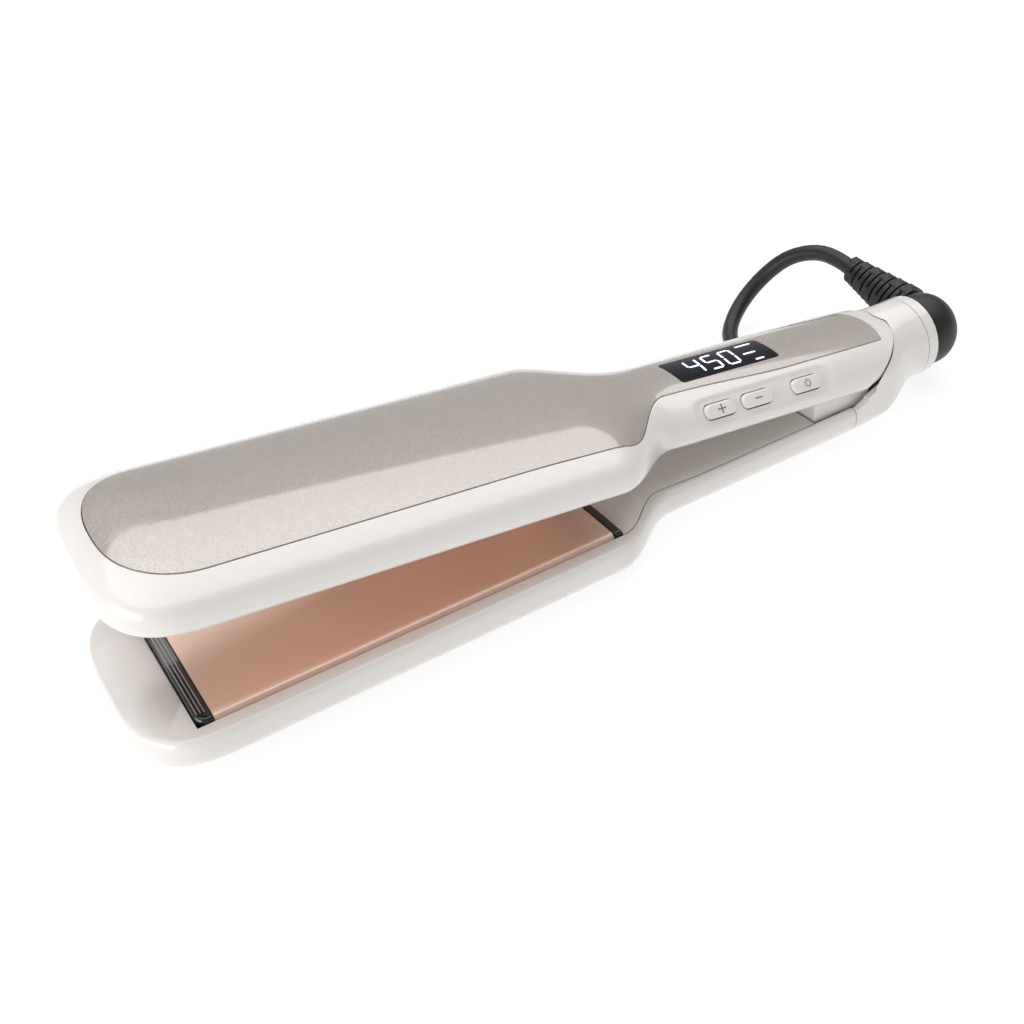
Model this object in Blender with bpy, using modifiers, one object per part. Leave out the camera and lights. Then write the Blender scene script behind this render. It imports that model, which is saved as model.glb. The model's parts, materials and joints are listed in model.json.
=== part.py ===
"""Flat iron: two hinged arms with floating heated plates, a yoke with a swivelling cord and its plug.

The arms are described in millimetres, in a design frame whose z = 0 is the plane where the plates meet,
whose x = 0 is the middle of the plates, with the tip at -X, the cord at +X and the buttons at -Y.
ROOT_PLACE then moves that frame so that the lower arm's belly lies on z = 0.
"""

import math

import bmesh
import bpy
from mathutils import Matrix, Vector

MM = 0.001
GAP = 0.3

# Driving dimensions, in millimetres and degrees.
PLATE_HALF_LENGTH = 55.0
PLATE_HALF_WIDTH = 25.5
PLATE_FACE = 0.12
PLATE_WEB = 1.8
PLATE_DEPTH = 4.4
PLATE_EDGE_RADIUS = 2.2
FRONT_TRIM = 4.3
REAR_TRIM = 2.2
TIP_X = -73.1
TIP_SPINE_X = -48.0
TIP_POWER = 3.3
REAR_SPINE_X = 149.3
COVER_REAR_X = 160.8
COVER_REAR_BOW = 58.0
ARM_HALF_WIDTH = 31.1
HANDLE_HALF_WIDTH = 17.7
SHOULDER = (54.0, 80.0)
HANDLE_DROP = 1.45
INNER_FACE = 1.11
FOOT_ROUND = 2.0
WALL = 1.6
LIP = 1.5
SEAM_GAP = 0.16
HINGE_X = 170.1
HINGE_Z = -0.62
OPEN_ANGLE = 6.75
PIN_RADIUS = 1.5
PIN_BORE = 1.58
PIN_HALF_LENGTH = 12.4
BELLY = 14.9
SPLIT_X = 145.5
BARREL_X = 178.9
BARREL_Z = 1.62
BARREL_RADIUS = 12.32
COLLAR_X = (179.2, 183.2)
PANEL_FRONT_X = 57.9
PANEL_REAR_X = 131.7
BLOCK_X = (132.6, 153.2)
BLOCK_HALF_WIDTH = 14.3
BLOCK_TOP = 6.0
DISPLAY_X = (90.1, 124.2)
DISPLAY_HALF_WIDTH = 5.8
BUTTON_X = {"plus": 95.7, "minus": 108.4, "power": 126.0}
BUTTON_SIZE = (10.6, 4.0)
BUTTON_PLACE = (-15.75, 7.6)
BUTTON_TILT = 41.7
BOOT_START = (191.5, 0.0, BARREL_Z)
BOOT_END = (190.0, 32.3, 9.05)
CORD_DIAMETER = 5.2
CORD_ROUTE = (
    (190.0, 32.62, 9.12),
    (189.7, 38.0, 10.3),
    (188.6, 44.9, 10.8),
    (186.2, 51.3, 9.3),
    (182.9, 56.5, 6.2),
    (178.9, 60.1, 1.7),
    (173.9, 61.7, -2.9),
    (168.3, 61.2, -7.0),
    (162.6, 58.6, -10.2),
    (157.6, 54.1, -11.8),
    (154.0, 48.2, -12.2),
    (151.2, 41.0, -12.25),
    (147.8, 34.0, -12.25),
    (143.0, 28.0, -12.25),
    (136.6, 23.6, -12.25),
    (128.8, 21.0, -12.25),
    (120.0, 20.0, -12.25),
    (110.0, 19.8, -12.25),
    (99.0, 20.3, -12.25),
    (88.5, 22.2, -12.25),
    (79.0, 25.6, -12.25),
    (71.0, 29.4, -12.25),
    (63.5, 32.8, -12.15),
    (55.5, 34.6, -11.8),
    (47.2, 34.8, -11.5),
)
TAIL_ROUTE = (
    (43.2, 66.0, -0.7),
    (49.4, 65.1, -0.7),
    (55.4, 61.3, -1.0),
    (60.4, 55.2, -2.3),
    (64.6, 47.6, -4.4),
    (69.0, 39.7, -6.9),
    (74.0, 34.7, -8.5),
    (78.6, 33.0, -8.7),
    (81.6, 33.0, -8.7),
)
HANK_X = (-36.0, 30.0)
HANK_NEAR_Y = 32.2
HANK_HOLE = 13.0
HANK_BOTTOM = -14.05
HANK_ROWS = (3, 2, 1)
TIE_WIDTH = 12.0
TIE_THICKNESS = 0.5
PLUG_Y = 33.0
PLUG_Z = -8.7
PLUG_X = (82.0, 93.7, 96.7, 118.7)

UPPER = {"crest": 14.1, "handle_crest": 14.16, "belly": 99.0}
LOWER = {"crest": 15.1, "handle_crest": 13.8, "belly": BELLY}
TIP_DIRECTIONS = (0, 12, 24, 35, 44, 52, 59, 72, 79, 85)
SIDE_STATIONS = (-48, -25, 5, 35, 50, 55, 57.9, 60, 62.5, 65, 67.5, 70, 72.5, 75, 78, 82, 90, 105, 125)
NOSE_DIRECTIONS = (90, 80, 70, 60, 50, 40, 28, 14, 0)
MID_X = (TIP_X + COLLAR_X[1]) / 2
ROOT_PLACE = (-MID_X, 0.0, BELLY)


# Placing, materials and small helpers

def mix(a, b, share):
    return a + (b - a) * share


def smooth(x, low, high):
    t = min(1.0, max(0.0, (x - low) / (high - low)))
    return t * t * (3 - 2 * t)


def radial(dx, dy, reach_x, reach_y, power):
    """How far a superellipse reaches in the direction (dx, dy)."""
    return ((abs(dx) / reach_x) ** power + (abs(dy) / reach_y) ** power) ** (-1 / power)


def material(name, colour, roughness=0.4, metallic=0.0):
    made = bpy.data.materials.get(name)
    if made is None:
        made = bpy.data.materials.new(name)
        made.use_nodes = True
        shader = made.node_tree.nodes["Principled BSDF"]
        shader.inputs["Base Color"].default_value = (*colour, 1)
        shader.inputs["Roughness"].default_value = roughness
        shader.inputs["Metallic"].default_value = metallic
    return made


FINISHES = {
    "white": ((0.84, 0.81, 0.78), 0.18),
    "champagne": ((0.52, 0.47, 0.42), 0.28, 0.6),
    "copper": ((0.72, 0.45, 0.33), 0.3, 0.9),
    "black": ((0.02, 0.02, 0.022), 0.5),
    "window": ((0.01, 0.01, 0.02), 0.08),
    "steel": ((0.6, 0.6, 0.62), 0.3, 1.0),
    "brass": ((0.75, 0.58, 0.28), 0.35, 1.0),
    "ceramic": ((0.75, 0.75, 0.72), 0.5),
    "board": ((0.05, 0.22, 0.1), 0.5),
    "rubber": ((0.025, 0.025, 0.028), 0.65),
}


def collection(name):
    made = bpy.data.collections.new(name)
    bpy.context.scene.collection.children.link(made)
    return made


def frame_empty(name, place, tilt=0.0, parent=None):
    """An empty that carries a body; its place is in millimetres in its parent's frame."""
    made = bpy.data.objects.new(name, None)
    made.location = Vector(place) * MM
    made.rotation_euler = (0, math.radians(tilt), 0)
    made.parent = parent
    PARTS.objects.link(made)
    return made


def add(name, mesh, finish, parent, origin=(0, 0, 0)):
    """Turn a mesh in the design frame's millimetres into a named part under its body's empty."""
    mesh.name = name
    mesh.transform(Matrix.Scale(MM, 4) @ Matrix.Translation(-Vector(origin)))
    made = bpy.data.objects.new(name, mesh)
    mesh.materials.append(material(finish, *FINISHES[finish]))
    made.parent = parent
    PARTS.objects.link(made)
    return made


def cutter(name, mesh, parent, origin=(0, 0, 0)):
    made = add(name, mesh, "steel", parent, origin)
    PARTS.objects.unlink(made)
    CUTTERS.objects.link(made)
    made.hide_render = True
    made.display_type = "WIRE"
    return made


def boolean(target, tool, operation):
    step = target.modifiers.new(f"{operation.lower()} {tool.name}", "BOOLEAN")
    step.operation = operation
    step.object = tool
    step.solver = "EXACT"


def shaded(mesh, angle=35):
    mesh.shade_smooth()
    mesh.set_sharp_from_angle(angle=math.radians(angle))
    return mesh


def loft(rows, closed_rows=True, caps=(False, False), ring=False):
    """A skin through rows of points; caps close its first and last row, and ring joins the last to the first."""
    bm = bmesh.new()
    grid = [[bm.verts.new(p) for p in row] for row in rows]
    pairs = list(zip(grid, grid[1:] + grid[:1])) if ring else list(zip(grid, grid[1:]))
    for row, after in pairs:
        count = len(row) if closed_rows else len(row) - 1
        for i in range(count):
            k = (i + 1) % len(row)
            bm.faces.new((row[i], after[i], after[k], row[k]))
    if caps[0]:
        bm.faces.new(grid[0])
    if caps[1]:
        bm.faces.new(grid[-1][::-1])
    bmesh.ops.remove_doubles(bm, verts=bm.verts, dist=1e-4)
    bmesh.ops.dissolve_degenerate(bm, edges=bm.edges, dist=1e-4)
    bmesh.ops.recalc_face_normals(bm, faces=bm.faces)
    mesh = bpy.data.meshes.new("loft")
    bm.to_mesh(mesh)
    bm.free()
    return mesh


def mirrored(mesh):
    """The whole of a half that is open at y = 0."""
    holder = bpy.data.objects.new("half", mesh)
    CUTTERS.objects.link(holder)
    step = holder.modifiers.new("mirror", "MIRROR")
    step.use_axis = (False, True, False)
    step.merge_threshold = 0.0001
    return applied(holder)


def applied(holder):
    """The evaluated mesh of a helper object, which is then removed."""
    graph = bpy.context.evaluated_depsgraph_get()
    graph.update()
    mesh = bpy.data.meshes.new_from_object(holder.evaluated_get(graph))
    bpy.data.objects.remove(holder)
    bm = bmesh.new()
    bm.from_mesh(mesh)
    bmesh.ops.remove_doubles(bm, verts=bm.verts, dist=1e-4)
    bmesh.ops.recalc_face_normals(bm, faces=bm.faces)
    bm.to_mesh(mesh)
    bm.free()
    mesh.materials.clear()
    return mesh


def extruded(outlines, depth, bevel=0.0):
    """A flat outline, with any holes as further outlines, extruded by depth and centred on z = 0."""
    curve = bpy.data.curves.new("outline", "CURVE")
    curve.dimensions = "2D"
    curve.fill_mode = "BOTH"
    curve.extrude = depth / 2
    for outline in outlines:
        spline = curve.splines.new("POLY")
        spline.points.add(len(outline) - 1)
        spline.use_cyclic_u = True
        for point, (x, y) in zip(spline.points, outline):
            point.co = (x, y, 0, 1)
    holder = bpy.data.objects.new("outline", curve)
    CUTTERS.objects.link(holder)
    if bevel:
        weld = holder.modifiers.new("weld", "WELD")
        weld.merge_threshold = 0.0001
        edge = holder.modifiers.new("bevel", "BEVEL")
        edge.width = bevel
        edge.segments = 2
        edge.limit_method = "ANGLE"
    return applied(holder)


def tube(points, radius, sides_level=2):
    """A round wire or lead through the points, with filled ends."""
    curve = bpy.data.curves.new("tube", "CURVE")
    curve.dimensions = "3D"
    curve.bevel_depth = radius
    curve.bevel_resolution = sides_level
    curve.use_fill_caps = True
    spline = curve.splines.new("POLY")
    spline.points.add(len(points) - 1)
    for point, place in zip(spline.points, points):
        point.co = (*place, 1)
    holder = bpy.data.objects.new("tube", curve)
    CUTTERS.objects.link(holder)
    return shaded(applied(holder))


def turned(profile, steps=32):
    """A solid turned about X from (x, radius) pairs that start and end on the axis."""
    rows = []
    for k in range(steps):
        angle = 2 * math.pi * k / steps
        rows.append([(x, r * math.cos(angle), r * math.sin(angle)) for x, r in profile])
    return shaded(loft(rows, closed_rows=False, ring=True))


def ring_turned(profile, steps=32):
    """A ring turned about X from a closed profile of (x, radius) pairs."""
    rows = []
    for k in range(steps):
        angle = 2 * math.pi * k / steps
        rows.append([(x, r * math.cos(angle), r * math.sin(angle)) for x, r in profile])
    return shaded(loft(rows, closed_rows=True, ring=True))


def box(low, high, bevel=0.0):
    bm = bmesh.new()
    bmesh.ops.create_cube(bm, size=1.0)
    size = Vector(high) - Vector(low)
    bmesh.ops.scale(bm, vec=size, verts=bm.verts)
    bmesh.ops.translate(bm, vec=(Vector(high) + Vector(low)) / 2, verts=bm.verts)
    if bevel:
        bmesh.ops.bevel(bm, geom=bm.edges[:], offset=bevel, segments=2, affect="EDGES", profile=0.5)
    mesh = bpy.data.meshes.new("box")
    bm.to_mesh(mesh)
    bm.free()
    return mesh


def cylinder(centre, radius, half_length, sides=24):
    """A round bar along Y."""
    bm = bmesh.new()
    bmesh.ops.create_cone(bm, cap_ends=True, segments=sides, radius1=radius, radius2=radius,
                          depth=2 * half_length)
    bmesh.ops.rotate(bm, cent=(0, 0, 0), matrix=Matrix.Rotation(math.pi / 2, 3, "X"), verts=bm.verts)
    bmesh.ops.translate(bm, vec=centre, verts=bm.verts)
    mesh = bpy.data.meshes.new("cylinder")
    bm.to_mesh(mesh)
    bm.free()
    return shaded(mesh)


# The arm's form: stations go round half of the plan, and each crosses the arm from its spine to its outline

def side_outline(x):
    return mix(ARM_HALF_WIDTH, HANDLE_HALF_WIDTH, smooth(x, *SHOULDER))


def side_seam(x):
    """Half the width of the outer cover."""
    waist = 23.6 + 0.7 * smooth(x, 30, 58)
    return mix(waist, 8.4, smooth(x, 59.5, 82)) + 1.9 * smooth(x, 84, 125)


def side_opening(x):
    """Half the width of the opening in the inner face."""
    return mix(PLATE_HALF_WIDTH + 0.4, 14.6, smooth(x, 57.9, 77)) + 0.6 * smooth(x, 78, 92)


def cover_rear(direction):
    """How far the cover reaches from the rear spine point, in a direction off the axis."""
    along, across = math.cos(direction), math.sin(direction)
    length, bow = COVER_REAR_X - REAR_SPINE_X, max(across, 1e-3) ** 2 / COVER_REAR_BOW
    reach = (math.sqrt(along ** 2 + 4 * bow * length) - along) / (2 * bow)
    return min(reach, side_seam(REAR_SPINE_X) / max(across, 1e-6))


def station(spine_x, end, seam, opening, arm, share):
    """One crossing of the arm; share goes from 0 at the plates to 1 in the handle."""
    reach = math.hypot(end[0] - spine_x, end[1])
    return {
        "spine": spine_x, "end": end, "reach": reach, "seam": seam / reach,
        "opening": min(opening / reach, 1 - (FOOT_ROUND + 0.5) / reach),
        "widest": mix(5.0, 4.15, share), "drop": mix(0, HANDLE_DROP, share),
        "crest": mix(arm["crest"], arm["handle_crest"], share),
        "belly": arm["belly"] - mix(0, HANDLE_DROP, share),
        "power": mix(2.42, 2.14, share), "nose": 0.0, "face": INNER_FACE,
    }


def tip_stations(arm):
    front = PLATE_HALF_LENGTH + FRONT_TRIM + 0.6 + TIP_SPINE_X
    side = PLATE_HALF_WIDTH + 0.4
    corner = math.degrees(math.atan2(side, front))
    made = []
    for degrees in sorted((*TIP_DIRECTIONS, corner)):
        dx, dy = math.cos(math.radians(degrees)), math.sin(math.radians(degrees))
        reach = radial(dx, dy, TIP_SPINE_X - TIP_X, ARM_HALF_WIDTH, TIP_POWER)
        seam = radial(dx, dy, 19.2, 23.6, 2.5)
        opening = min(front / max(dx, 1e-6), side / max(dy, 1e-6))
        made.append(station(TIP_SPINE_X, (TIP_SPINE_X - reach * dx, reach * dy), seam, opening, arm, 0))
    return made


def side_stations(arm, stop_x):
    places = [x for x in SIDE_STATIONS if x < stop_x - 1] + [stop_x]
    return [station(x, (x, side_outline(x)), side_seam(x), side_opening(x), arm, smooth(x, 52, 86))
            for x in places]


def nose_stations(arm):
    """The rear end keeps the handle's section and is cut off round; its lower edge climbs to the rear."""
    made = []
    for degrees in NOSE_DIRECTIONS:
        direction = math.radians(degrees)
        reach = HANDLE_HALF_WIDTH
        end = (REAR_SPINE_X + reach * math.cos(direction), reach * math.sin(direction))
        s = station(REAR_SPINE_X, end, cover_rear(direction), reach - 2.3, arm, 1)
        s["nose"] = smooth(90 - degrees, 0, 24)
        s["extruded"] = True
        s["face"] = INNER_FACE + 0.75 * (skin(s, 1) - s["widest"])
        made.append(s)
    return made


def arm_stations(arm, stop_x=None):
    """Half the arm, from the middle of the tip to the middle of the nose, or to a straight cut at stop_x."""
    if stop_x:
        return tip_stations(arm) + side_stations(arm, stop_x)
    return tip_stations(arm) + side_stations(arm, REAR_SPINE_X)[:-1] + nose_stations(arm)


def at(s, share, height):
    """A point of a station, share of the way from its spine to its outline."""
    return (s["spine"] + (s["end"][0] - s["spine"]) * share, s["end"][1] * share, height)


def skin(s, share, inset=0.0):
    """The arm's outer height at a share of the way out, or that of a skin inset from it."""
    if s.get("extruded"):
        ratio = share * s["end"][1] / (HANDLE_HALF_WIDTH - inset)
    else:
        ratio = share / (1 - inset / s["reach"])
    arch = (1 - min(1.0, ratio) ** s["power"]) ** (1 / s["power"])
    return min(s["widest"] + (s["crest"] - inset - s["widest"]) * arch, s["belly"] - inset)


def placed(points, s, side):
    """Points of the upper arm as they are, or turned over for the lower arm."""
    return [(x, y, side * z - s["drop"]) for x, y, z in points]


def housing_section(s, side):
    seam = s["seam"] + SEAM_GAP / s["reach"]
    reach, face, nose = s["reach"], s["face"], s["nose"]
    start = math.acos(min(1.0, seam ** (s["power"] / 2)))
    outer = [at(s, seam, skin(s, seam))]
    for k in (0.3, 0.55, 0.78):
        share = mix(math.cos(start * (1 - k)) ** (2 / s["power"]), mix(seam, 1, k * 1.22), nose)
        outer.append(at(s, share, skin(s, share)))
    rim, foot = skin(s, 1) - 0.4 * nose, mix(FOOT_ROUND, 0.5, nose)
    outer.append(at(s, 1, rim))
    outer.append(at(s, 1 - 0.29 * foot / reach, mix(rim, face, 0.707)))
    outer.append(at(s, 1 - foot / reach, face))
    outer.append(at(s, s["opening"], face))
    shelf = face + mix(LIP, 0.9, nose)
    middle = (seam + 1 - WALL / reach) / 2
    inner = [
        at(s, s["opening"], shelf),
        at(s, 1 - (WALL + 0.3) / reach, shelf),
        at(s, 1 - WALL / reach, mix(s["widest"] + 0.5, mix(face, rim, 0.55), nose)),
        at(s, middle, skin(s, middle, WALL)),
        at(s, seam, skin(s, seam, WALL)),
    ]
    return placed(outer + inner, s, side)


def cover_section(s, side):
    shares = [s["seam"] * k - SEAM_GAP / s["reach"] * (k == 1) for k in (0, 0.3, 0.6, 0.85, 1)]
    outer = [at(s, c, skin(s, c)) for c in shares]
    inner = [at(s, c, skin(s, c, WALL)) for c in shares[::-1]]
    return placed(outer + inner, s, side)


def panel_mesh(side, rear_x):
    """The flat inner panel of a handle, between the plates and the spring block."""
    places = [PANEL_FRONT_X] + [x for x in SIDE_STATIONS if PANEL_FRONT_X + 1 < x < rear_x - 2] + [rear_x]
    rows = []
    for x in places:
        half = side_opening(x) - GAP
        drop = mix(0, HANDLE_DROP, smooth(x, 52, 86))
        near, far = side * INNER_FACE - drop, side * (INNER_FACE + LIP) - drop
        rows.append([(x, -half, near), (x, half, near), (x, half, far), (x, -half, far)])
    return loft(rows, caps=(True, True))


# The pieces

def housing(name, arm, side, parent, origin, stop_x=None):
    rows = [housing_section(s, side) for s in arm_stations(arm, stop_x)]
    mesh = mirrored(loft(rows, caps=(False, bool(stop_x))))
    return add(name, shaded(mesh, 50), "white", parent, origin)


def cover(name, arm, side, parent, origin, stop_x=None):
    rows = [cover_section(s, side) for s in arm_stations(arm, stop_x)]
    mesh = loft(rows, closed_rows=False, caps=(False, bool(stop_x)))
    return add(name, shaded(mirrored(mesh), 50), "champagne", parent, origin)


def plate_profile():
    """A channel across Y: flat face, rounded long edges and two flanges, at z above the meeting plane."""
    half, radius, thick = PLATE_HALF_WIDTH, PLATE_EDGE_RADIUS, PLATE_WEB
    right = [(half - thick, PLATE_FACE + thick), (half - thick, PLATE_DEPTH), (half, PLATE_DEPTH)]
    for k in range(5):
        angle = math.radians(90 * k / 4)
        right.append((half - radius * (1 - math.cos(angle)), PLATE_FACE + radius * (1 - math.sin(angle))))
    return right + [(-y, z) for y, z in reversed(right)]


def along_x(profile, low, high):
    """A profile across Y and Z drawn out along X."""
    mesh = extruded([profile], high - low)
    turn = Matrix(((0, 0, 1, (low + high) / 2), (1, 0, 0, 0), (0, 1, 0, 0), (0, 0, 0, 1)))
    mesh.transform(turn)
    return mesh


def flipped(mesh, side):
    """The piece of the lower arm is the upper arm's turned over about the meeting plane."""
    if side < 0:
        mesh.transform(Matrix.Scale(-1, 4, (0, 0, 1)))
        mesh.flip_normals()
    return mesh


def trim_mesh(low, high):
    """A black end piece of the plate, as deep as the plate, with its outer corners cut."""
    half = PLATE_HALF_WIDTH
    profile = [(half, PLATE_DEPTH), (half, PLATE_FACE + 1.8), (half - 1.2, PLATE_FACE + 0.4),
               (half - 2.4, PLATE_FACE)]
    profile += [(-y, z) for y, z in reversed(profile)]
    return along_x(profile, low, high)


def plate_set(prefix, side, parent, origin):
    """A heated plate with its end trims, heater, clamp and sensor: they float together."""
    end = PLATE_HALF_LENGTH
    front, rear = -end - GAP - FRONT_TRIM, end + GAP + REAR_TRIM
    pieces = {
        "heating_plate": (along_x(plate_profile(), -end, end), "copper"),
        "front_trim": (trim_mesh(front, -end - GAP), "black"),
        "rear_trim": (trim_mesh(end + GAP, rear), "black"),
        "heater": (box((-45, -8, 2.3), (45, 8, 3.9)), "ceramic"),
        "heater_clamp": (box((-50, -14, 4.2), (50, 14, 4.9)), "steel"),
        "heat_sensor": (box((46, -2.5, 2.3), (51, 2.5, 3.8)), "ceramic"),
    }
    for name, (mesh, finish) in pieces.items():
        add(f"{prefix}_{name}", flipped(mesh, side), finish, parent, origin)


def coil_points(centre, radius, height, turns, steps=9):
    points = []
    for k in range(turns * steps + 1):
        angle = 2 * math.pi * k / steps
        points.append((centre[0] + radius * math.cos(angle), centre[1] + radius * math.sin(angle),
                       centre[2] + height * k / (turns * steps)))
    return points


def float_springs(prefix, side, parent, origin):
    for word, x in (("front", -32), ("rear", 32)):
        points = coil_points((x, 0, 5.8), 3.4, 5.9, 3)
        add(f"{prefix}_float_spring_{word}", flipped(tube(points, 0.45, 1), side), "steel", parent, origin)


def pill(length, width, steps=8):
    """The outline of a bar with round ends."""
    radius, run = width / 2, (length - width) / 2
    points = []
    for centre, turn in ((run, -90), (-run, 90)):
        for k in range(steps + 1):
            angle = math.radians(turn + 180 * k / steps)
            points.append((centre + radius * math.cos(angle), radius * math.sin(angle)))
    return points


def button_frame(x, lift):
    """The matrix of a button's own frame: its X along the handle, its Z out of the handle."""
    tilt = math.radians(90 - BUTTON_TILT)
    out = Vector((0, -math.sin(tilt), math.cos(tilt)))
    across = out.cross(Vector((1, 0, 0)))
    place = Vector((x, *BUTTON_PLACE)) + out * lift
    return Matrix(((1, across.x, out.x, place.x), (0, across.y, out.y, place.y),
                   (0, across.z, out.z, place.z), (0, 0, 0, 1)))


def on_handle(mesh, x, lift):
    mesh.transform(button_frame(x, lift))
    return mesh


def buttons_and_switches(upper_housing, upper_body, bodies, origin):
    low_x, high_x = 87.8, 135.8
    recess = on_handle(extruded([pill(high_x - low_x, 7.6)], 2.0), (low_x + high_x) / 2, 0.55)
    boolean(upper_housing, cutter("button_recess", recess, upper_body, origin), "DIFFERENCE")
    for name, x in BUTTON_X.items():
        hole = on_handle(extruded([pill(BUTTON_SIZE[0] + 0.6, BUTTON_SIZE[1] + 0.6)], 6.0), x, -1.5)
        boolean(upper_housing, cutter(f"{name}_hole", hole, upper_body, origin), "DIFFERENCE")
        cap = on_handle(extruded([pill(*BUTTON_SIZE)], 2.6, 0.4), x, -1.0)
        add(f"button_{name}", shaded(cap), "white", bodies[name], origin)
        switch = on_handle(box((-1.6, -1.2, -4.4), (1.6, 1.2, -3.3)), x, 0)
        add(f"{name}_switch", switch, "black", upper_body, origin)


def display(upper_cover, parent, origin):
    """The window lies flush in the cover's crest, with the display module under it."""
    crest = UPPER["handle_crest"] - HANDLE_DROP
    middle = sum(DISPLAY_X) / 2
    half, run = DISPLAY_HALF_WIDTH, (DISPLAY_X[1] - DISPLAY_X[0]) / 2

    def outline(inset):
        corner = 1.2
        points = []
        for sx, sy, turn in ((1, 1, 0), (-1, 1, 90), (-1, -1, 180), (1, -1, 270)):
            for k in range(4):
                angle = math.radians(turn + 30 * k)
                points.append((middle + sx * (run - inset - corner) + corner * math.cos(angle),
                               sy * (half - inset - corner) + corner * math.sin(angle)))
        return points

    hole = extruded([outline(-0.1)], 6.0)
    hole.transform(Matrix.Translation((0, 0, crest - 1.0)))
    boolean(upper_cover, cutter("display_hole", hole, parent, origin), "DIFFERENCE")
    rows = []
    for k in range(11):
        y = (half + 1) * (k / 5 - 1)
        arch = (1 - abs(y / HANDLE_HALF_WIDTH) ** 2.14) ** (1 / 2.14)
        top = 4.15 + (UPPER["handle_crest"] - 4.15) * arch - HANDLE_DROP
        low, high = DISPLAY_X[0] - 1, DISPLAY_X[1] + 1
        rows.append([(low, y, top), (high, y, top), (high, y, top - 1.4), (low, y, top - 1.4)])
    window = add("display_window", shaded(loft(rows, caps=(True, True)), 20), "window", parent, origin)
    edge = extruded([outline(0.2)], 8.0)
    edge.transform(Matrix.Translation((0, 0, crest - 1.0)))
    boolean(window, cutter("display_outline", edge, parent, origin), "INTERSECT")
    add("display_module", box((92, -5, crest - 5.2), (122, 5, crest - 2.2)), "black", parent, origin)


def yoke_section(x, inset=0.0):
    """The yoke goes from the handle's section to the round barrel, its underside first."""
    share, under = smooth(x, 157, 176), smooth(x, SPLIT_X, 176)
    width = mix(HANDLE_HALF_WIDTH, BARREL_RADIUS, share) - inset
    power = mix(2.14, 2.0, share)
    points = []
    for sign, crest, blend in ((1, UPPER["handle_crest"], share), (-1, LOWER["handle_crest"], under)):
        rise = mix(crest, BARREL_RADIUS, blend) - inset
        flank, centre = mix(4.15, 0, share), mix(-HANDLE_DROP, BARREL_Z, share)
        lift = mix(-HANDLE_DROP, BARREL_Z, blend) - centre
        for k in range(13):
            angle = math.radians(15 * k if sign > 0 else 180 - 15 * k)
            cos, sin = math.cos(angle), max(0.0, math.sin(angle))
            arch = sin ** (2 / power)
            y = math.copysign(abs(cos) ** (2 / power), cos) * width
            z = centre + sign * (flank + (rise - flank) * arch) + lift * arch
            points.append((x, y, max(z, -BELLY + inset)))
    return points


def nose_clearance(gap):
    """The space that the upper arm's rear end needs, as half a solid a little larger than it."""
    rows = []
    low = INNER_FACE - gap - HANDLE_DROP
    for s in [station(x, (x, HANDLE_HALF_WIDTH), 1, 1, UPPER, 1) for x in (138, 144)] + nose_stations(UPPER):
        grow = 1 + gap / s["reach"]
        points = []
        for k in range(9):
            share = math.sin(math.radians(11.25 * k)) ** (2 / s["power"])
            x, y, z = at(s, share * grow, skin(s, share) + gap - s["drop"])
            points.append((x, y, z))
        x, y, z = at(s, grow, s["face"] - gap - s["drop"])
        points.append((x, y, min(z, points[-1][2] - 0.5)))
        points.append((s["spine"], 0, low))
        rows.append(points)
    return rows


def yoke(parent, hinge_body, hinge_origin):
    stations = (SPLIT_X + GAP, 149, 152, 155, 158, 161, 164, 167, 170, 173, 176, BARREL_X)
    outer = loft([yoke_section(x) for x in stations], caps=(True, True))
    made = add("yoke_barrel", shaded(outer, 50), "white", parent)
    inner_stations = (SPLIT_X - 2, 149, 152, 155, 158, 161, 164, 167, 170, 173, 176, BARREL_X + 2)
    inner = loft([yoke_section(x, 2.0) for x in inner_stations], caps=(True, True))
    boolean(made, cutter("yoke_bore", inner, parent), "DIFFERENCE")
    for word, angle in (("open", 0), ("closed", -OPEN_ANGLE)):
        mesh = mirrored(loft(nose_clearance(0.45), closed_rows=False, caps=(True, False)))
        space = cutter(f"nose_space_{word}", mesh, hinge_body, hinge_origin)
        space.rotation_euler = (0, math.radians(angle), 0)
        boolean(made, space, "DIFFERENCE")
    pin_holes = cutter("pin_holes", cylinder((HINGE_X, 0, HINGE_Z), PIN_BORE, PIN_HALF_LENGTH + GAP), parent)
    boolean(made, pin_holes, "DIFFERENCE")
    return made


def along_y(profile, low, high):
    """A profile across X and Z drawn out along Y."""
    mesh = extruded([profile], high - low)
    mesh.transform(Matrix(((1, 0, 0, 0), (0, 0, -1, (low + high) / 2), (0, 1, 0, 0), (0, 0, 0, 1))))
    return mesh


def knuckle(upper_housing, upper_body, origin):
    """The hinge knuckle that hangs from the upper arm's nose, in one with its housing."""
    barrel = cutter("knuckle_barrel", cylinder((HINGE_X, -0.3, HINGE_Z), 4.2, 4.9), upper_body, origin)
    web_outline = [(166.2, -2.0), (173.2, 1.6), (168.8, 7.4), (165.4, 11.2), (161.6, 11.2), (161.0, 6.5)]
    web = cutter("knuckle_web", along_y(web_outline, -5.2, 4.5), upper_body, origin)
    bore = cutter("knuckle_bore", cylinder((HINGE_X, 0, HINGE_Z), PIN_BORE, PIN_HALF_LENGTH), upper_body, origin)
    boolean(upper_housing, barrel, "UNION")
    boolean(upper_housing, web, "UNION")
    boolean(upper_housing, bore, "DIFFERENCE")


def hinge_pieces(parent):
    add("hinge_pin", cylinder((HINGE_X, 0, HINGE_Z), PIN_RADIUS, PIN_HALF_LENGTH), "steel", parent)
    points = []
    for k in range(37):
        angle = 2 * math.pi * k / 9
        points.append((HINGE_X + 2.9 * math.cos(angle), 5.4 + 4.0 * k / 36, HINGE_Z + 2.9 * math.sin(angle)))
    add("opening_spring", tube(points, 0.5, 1), "steel", parent)


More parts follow.
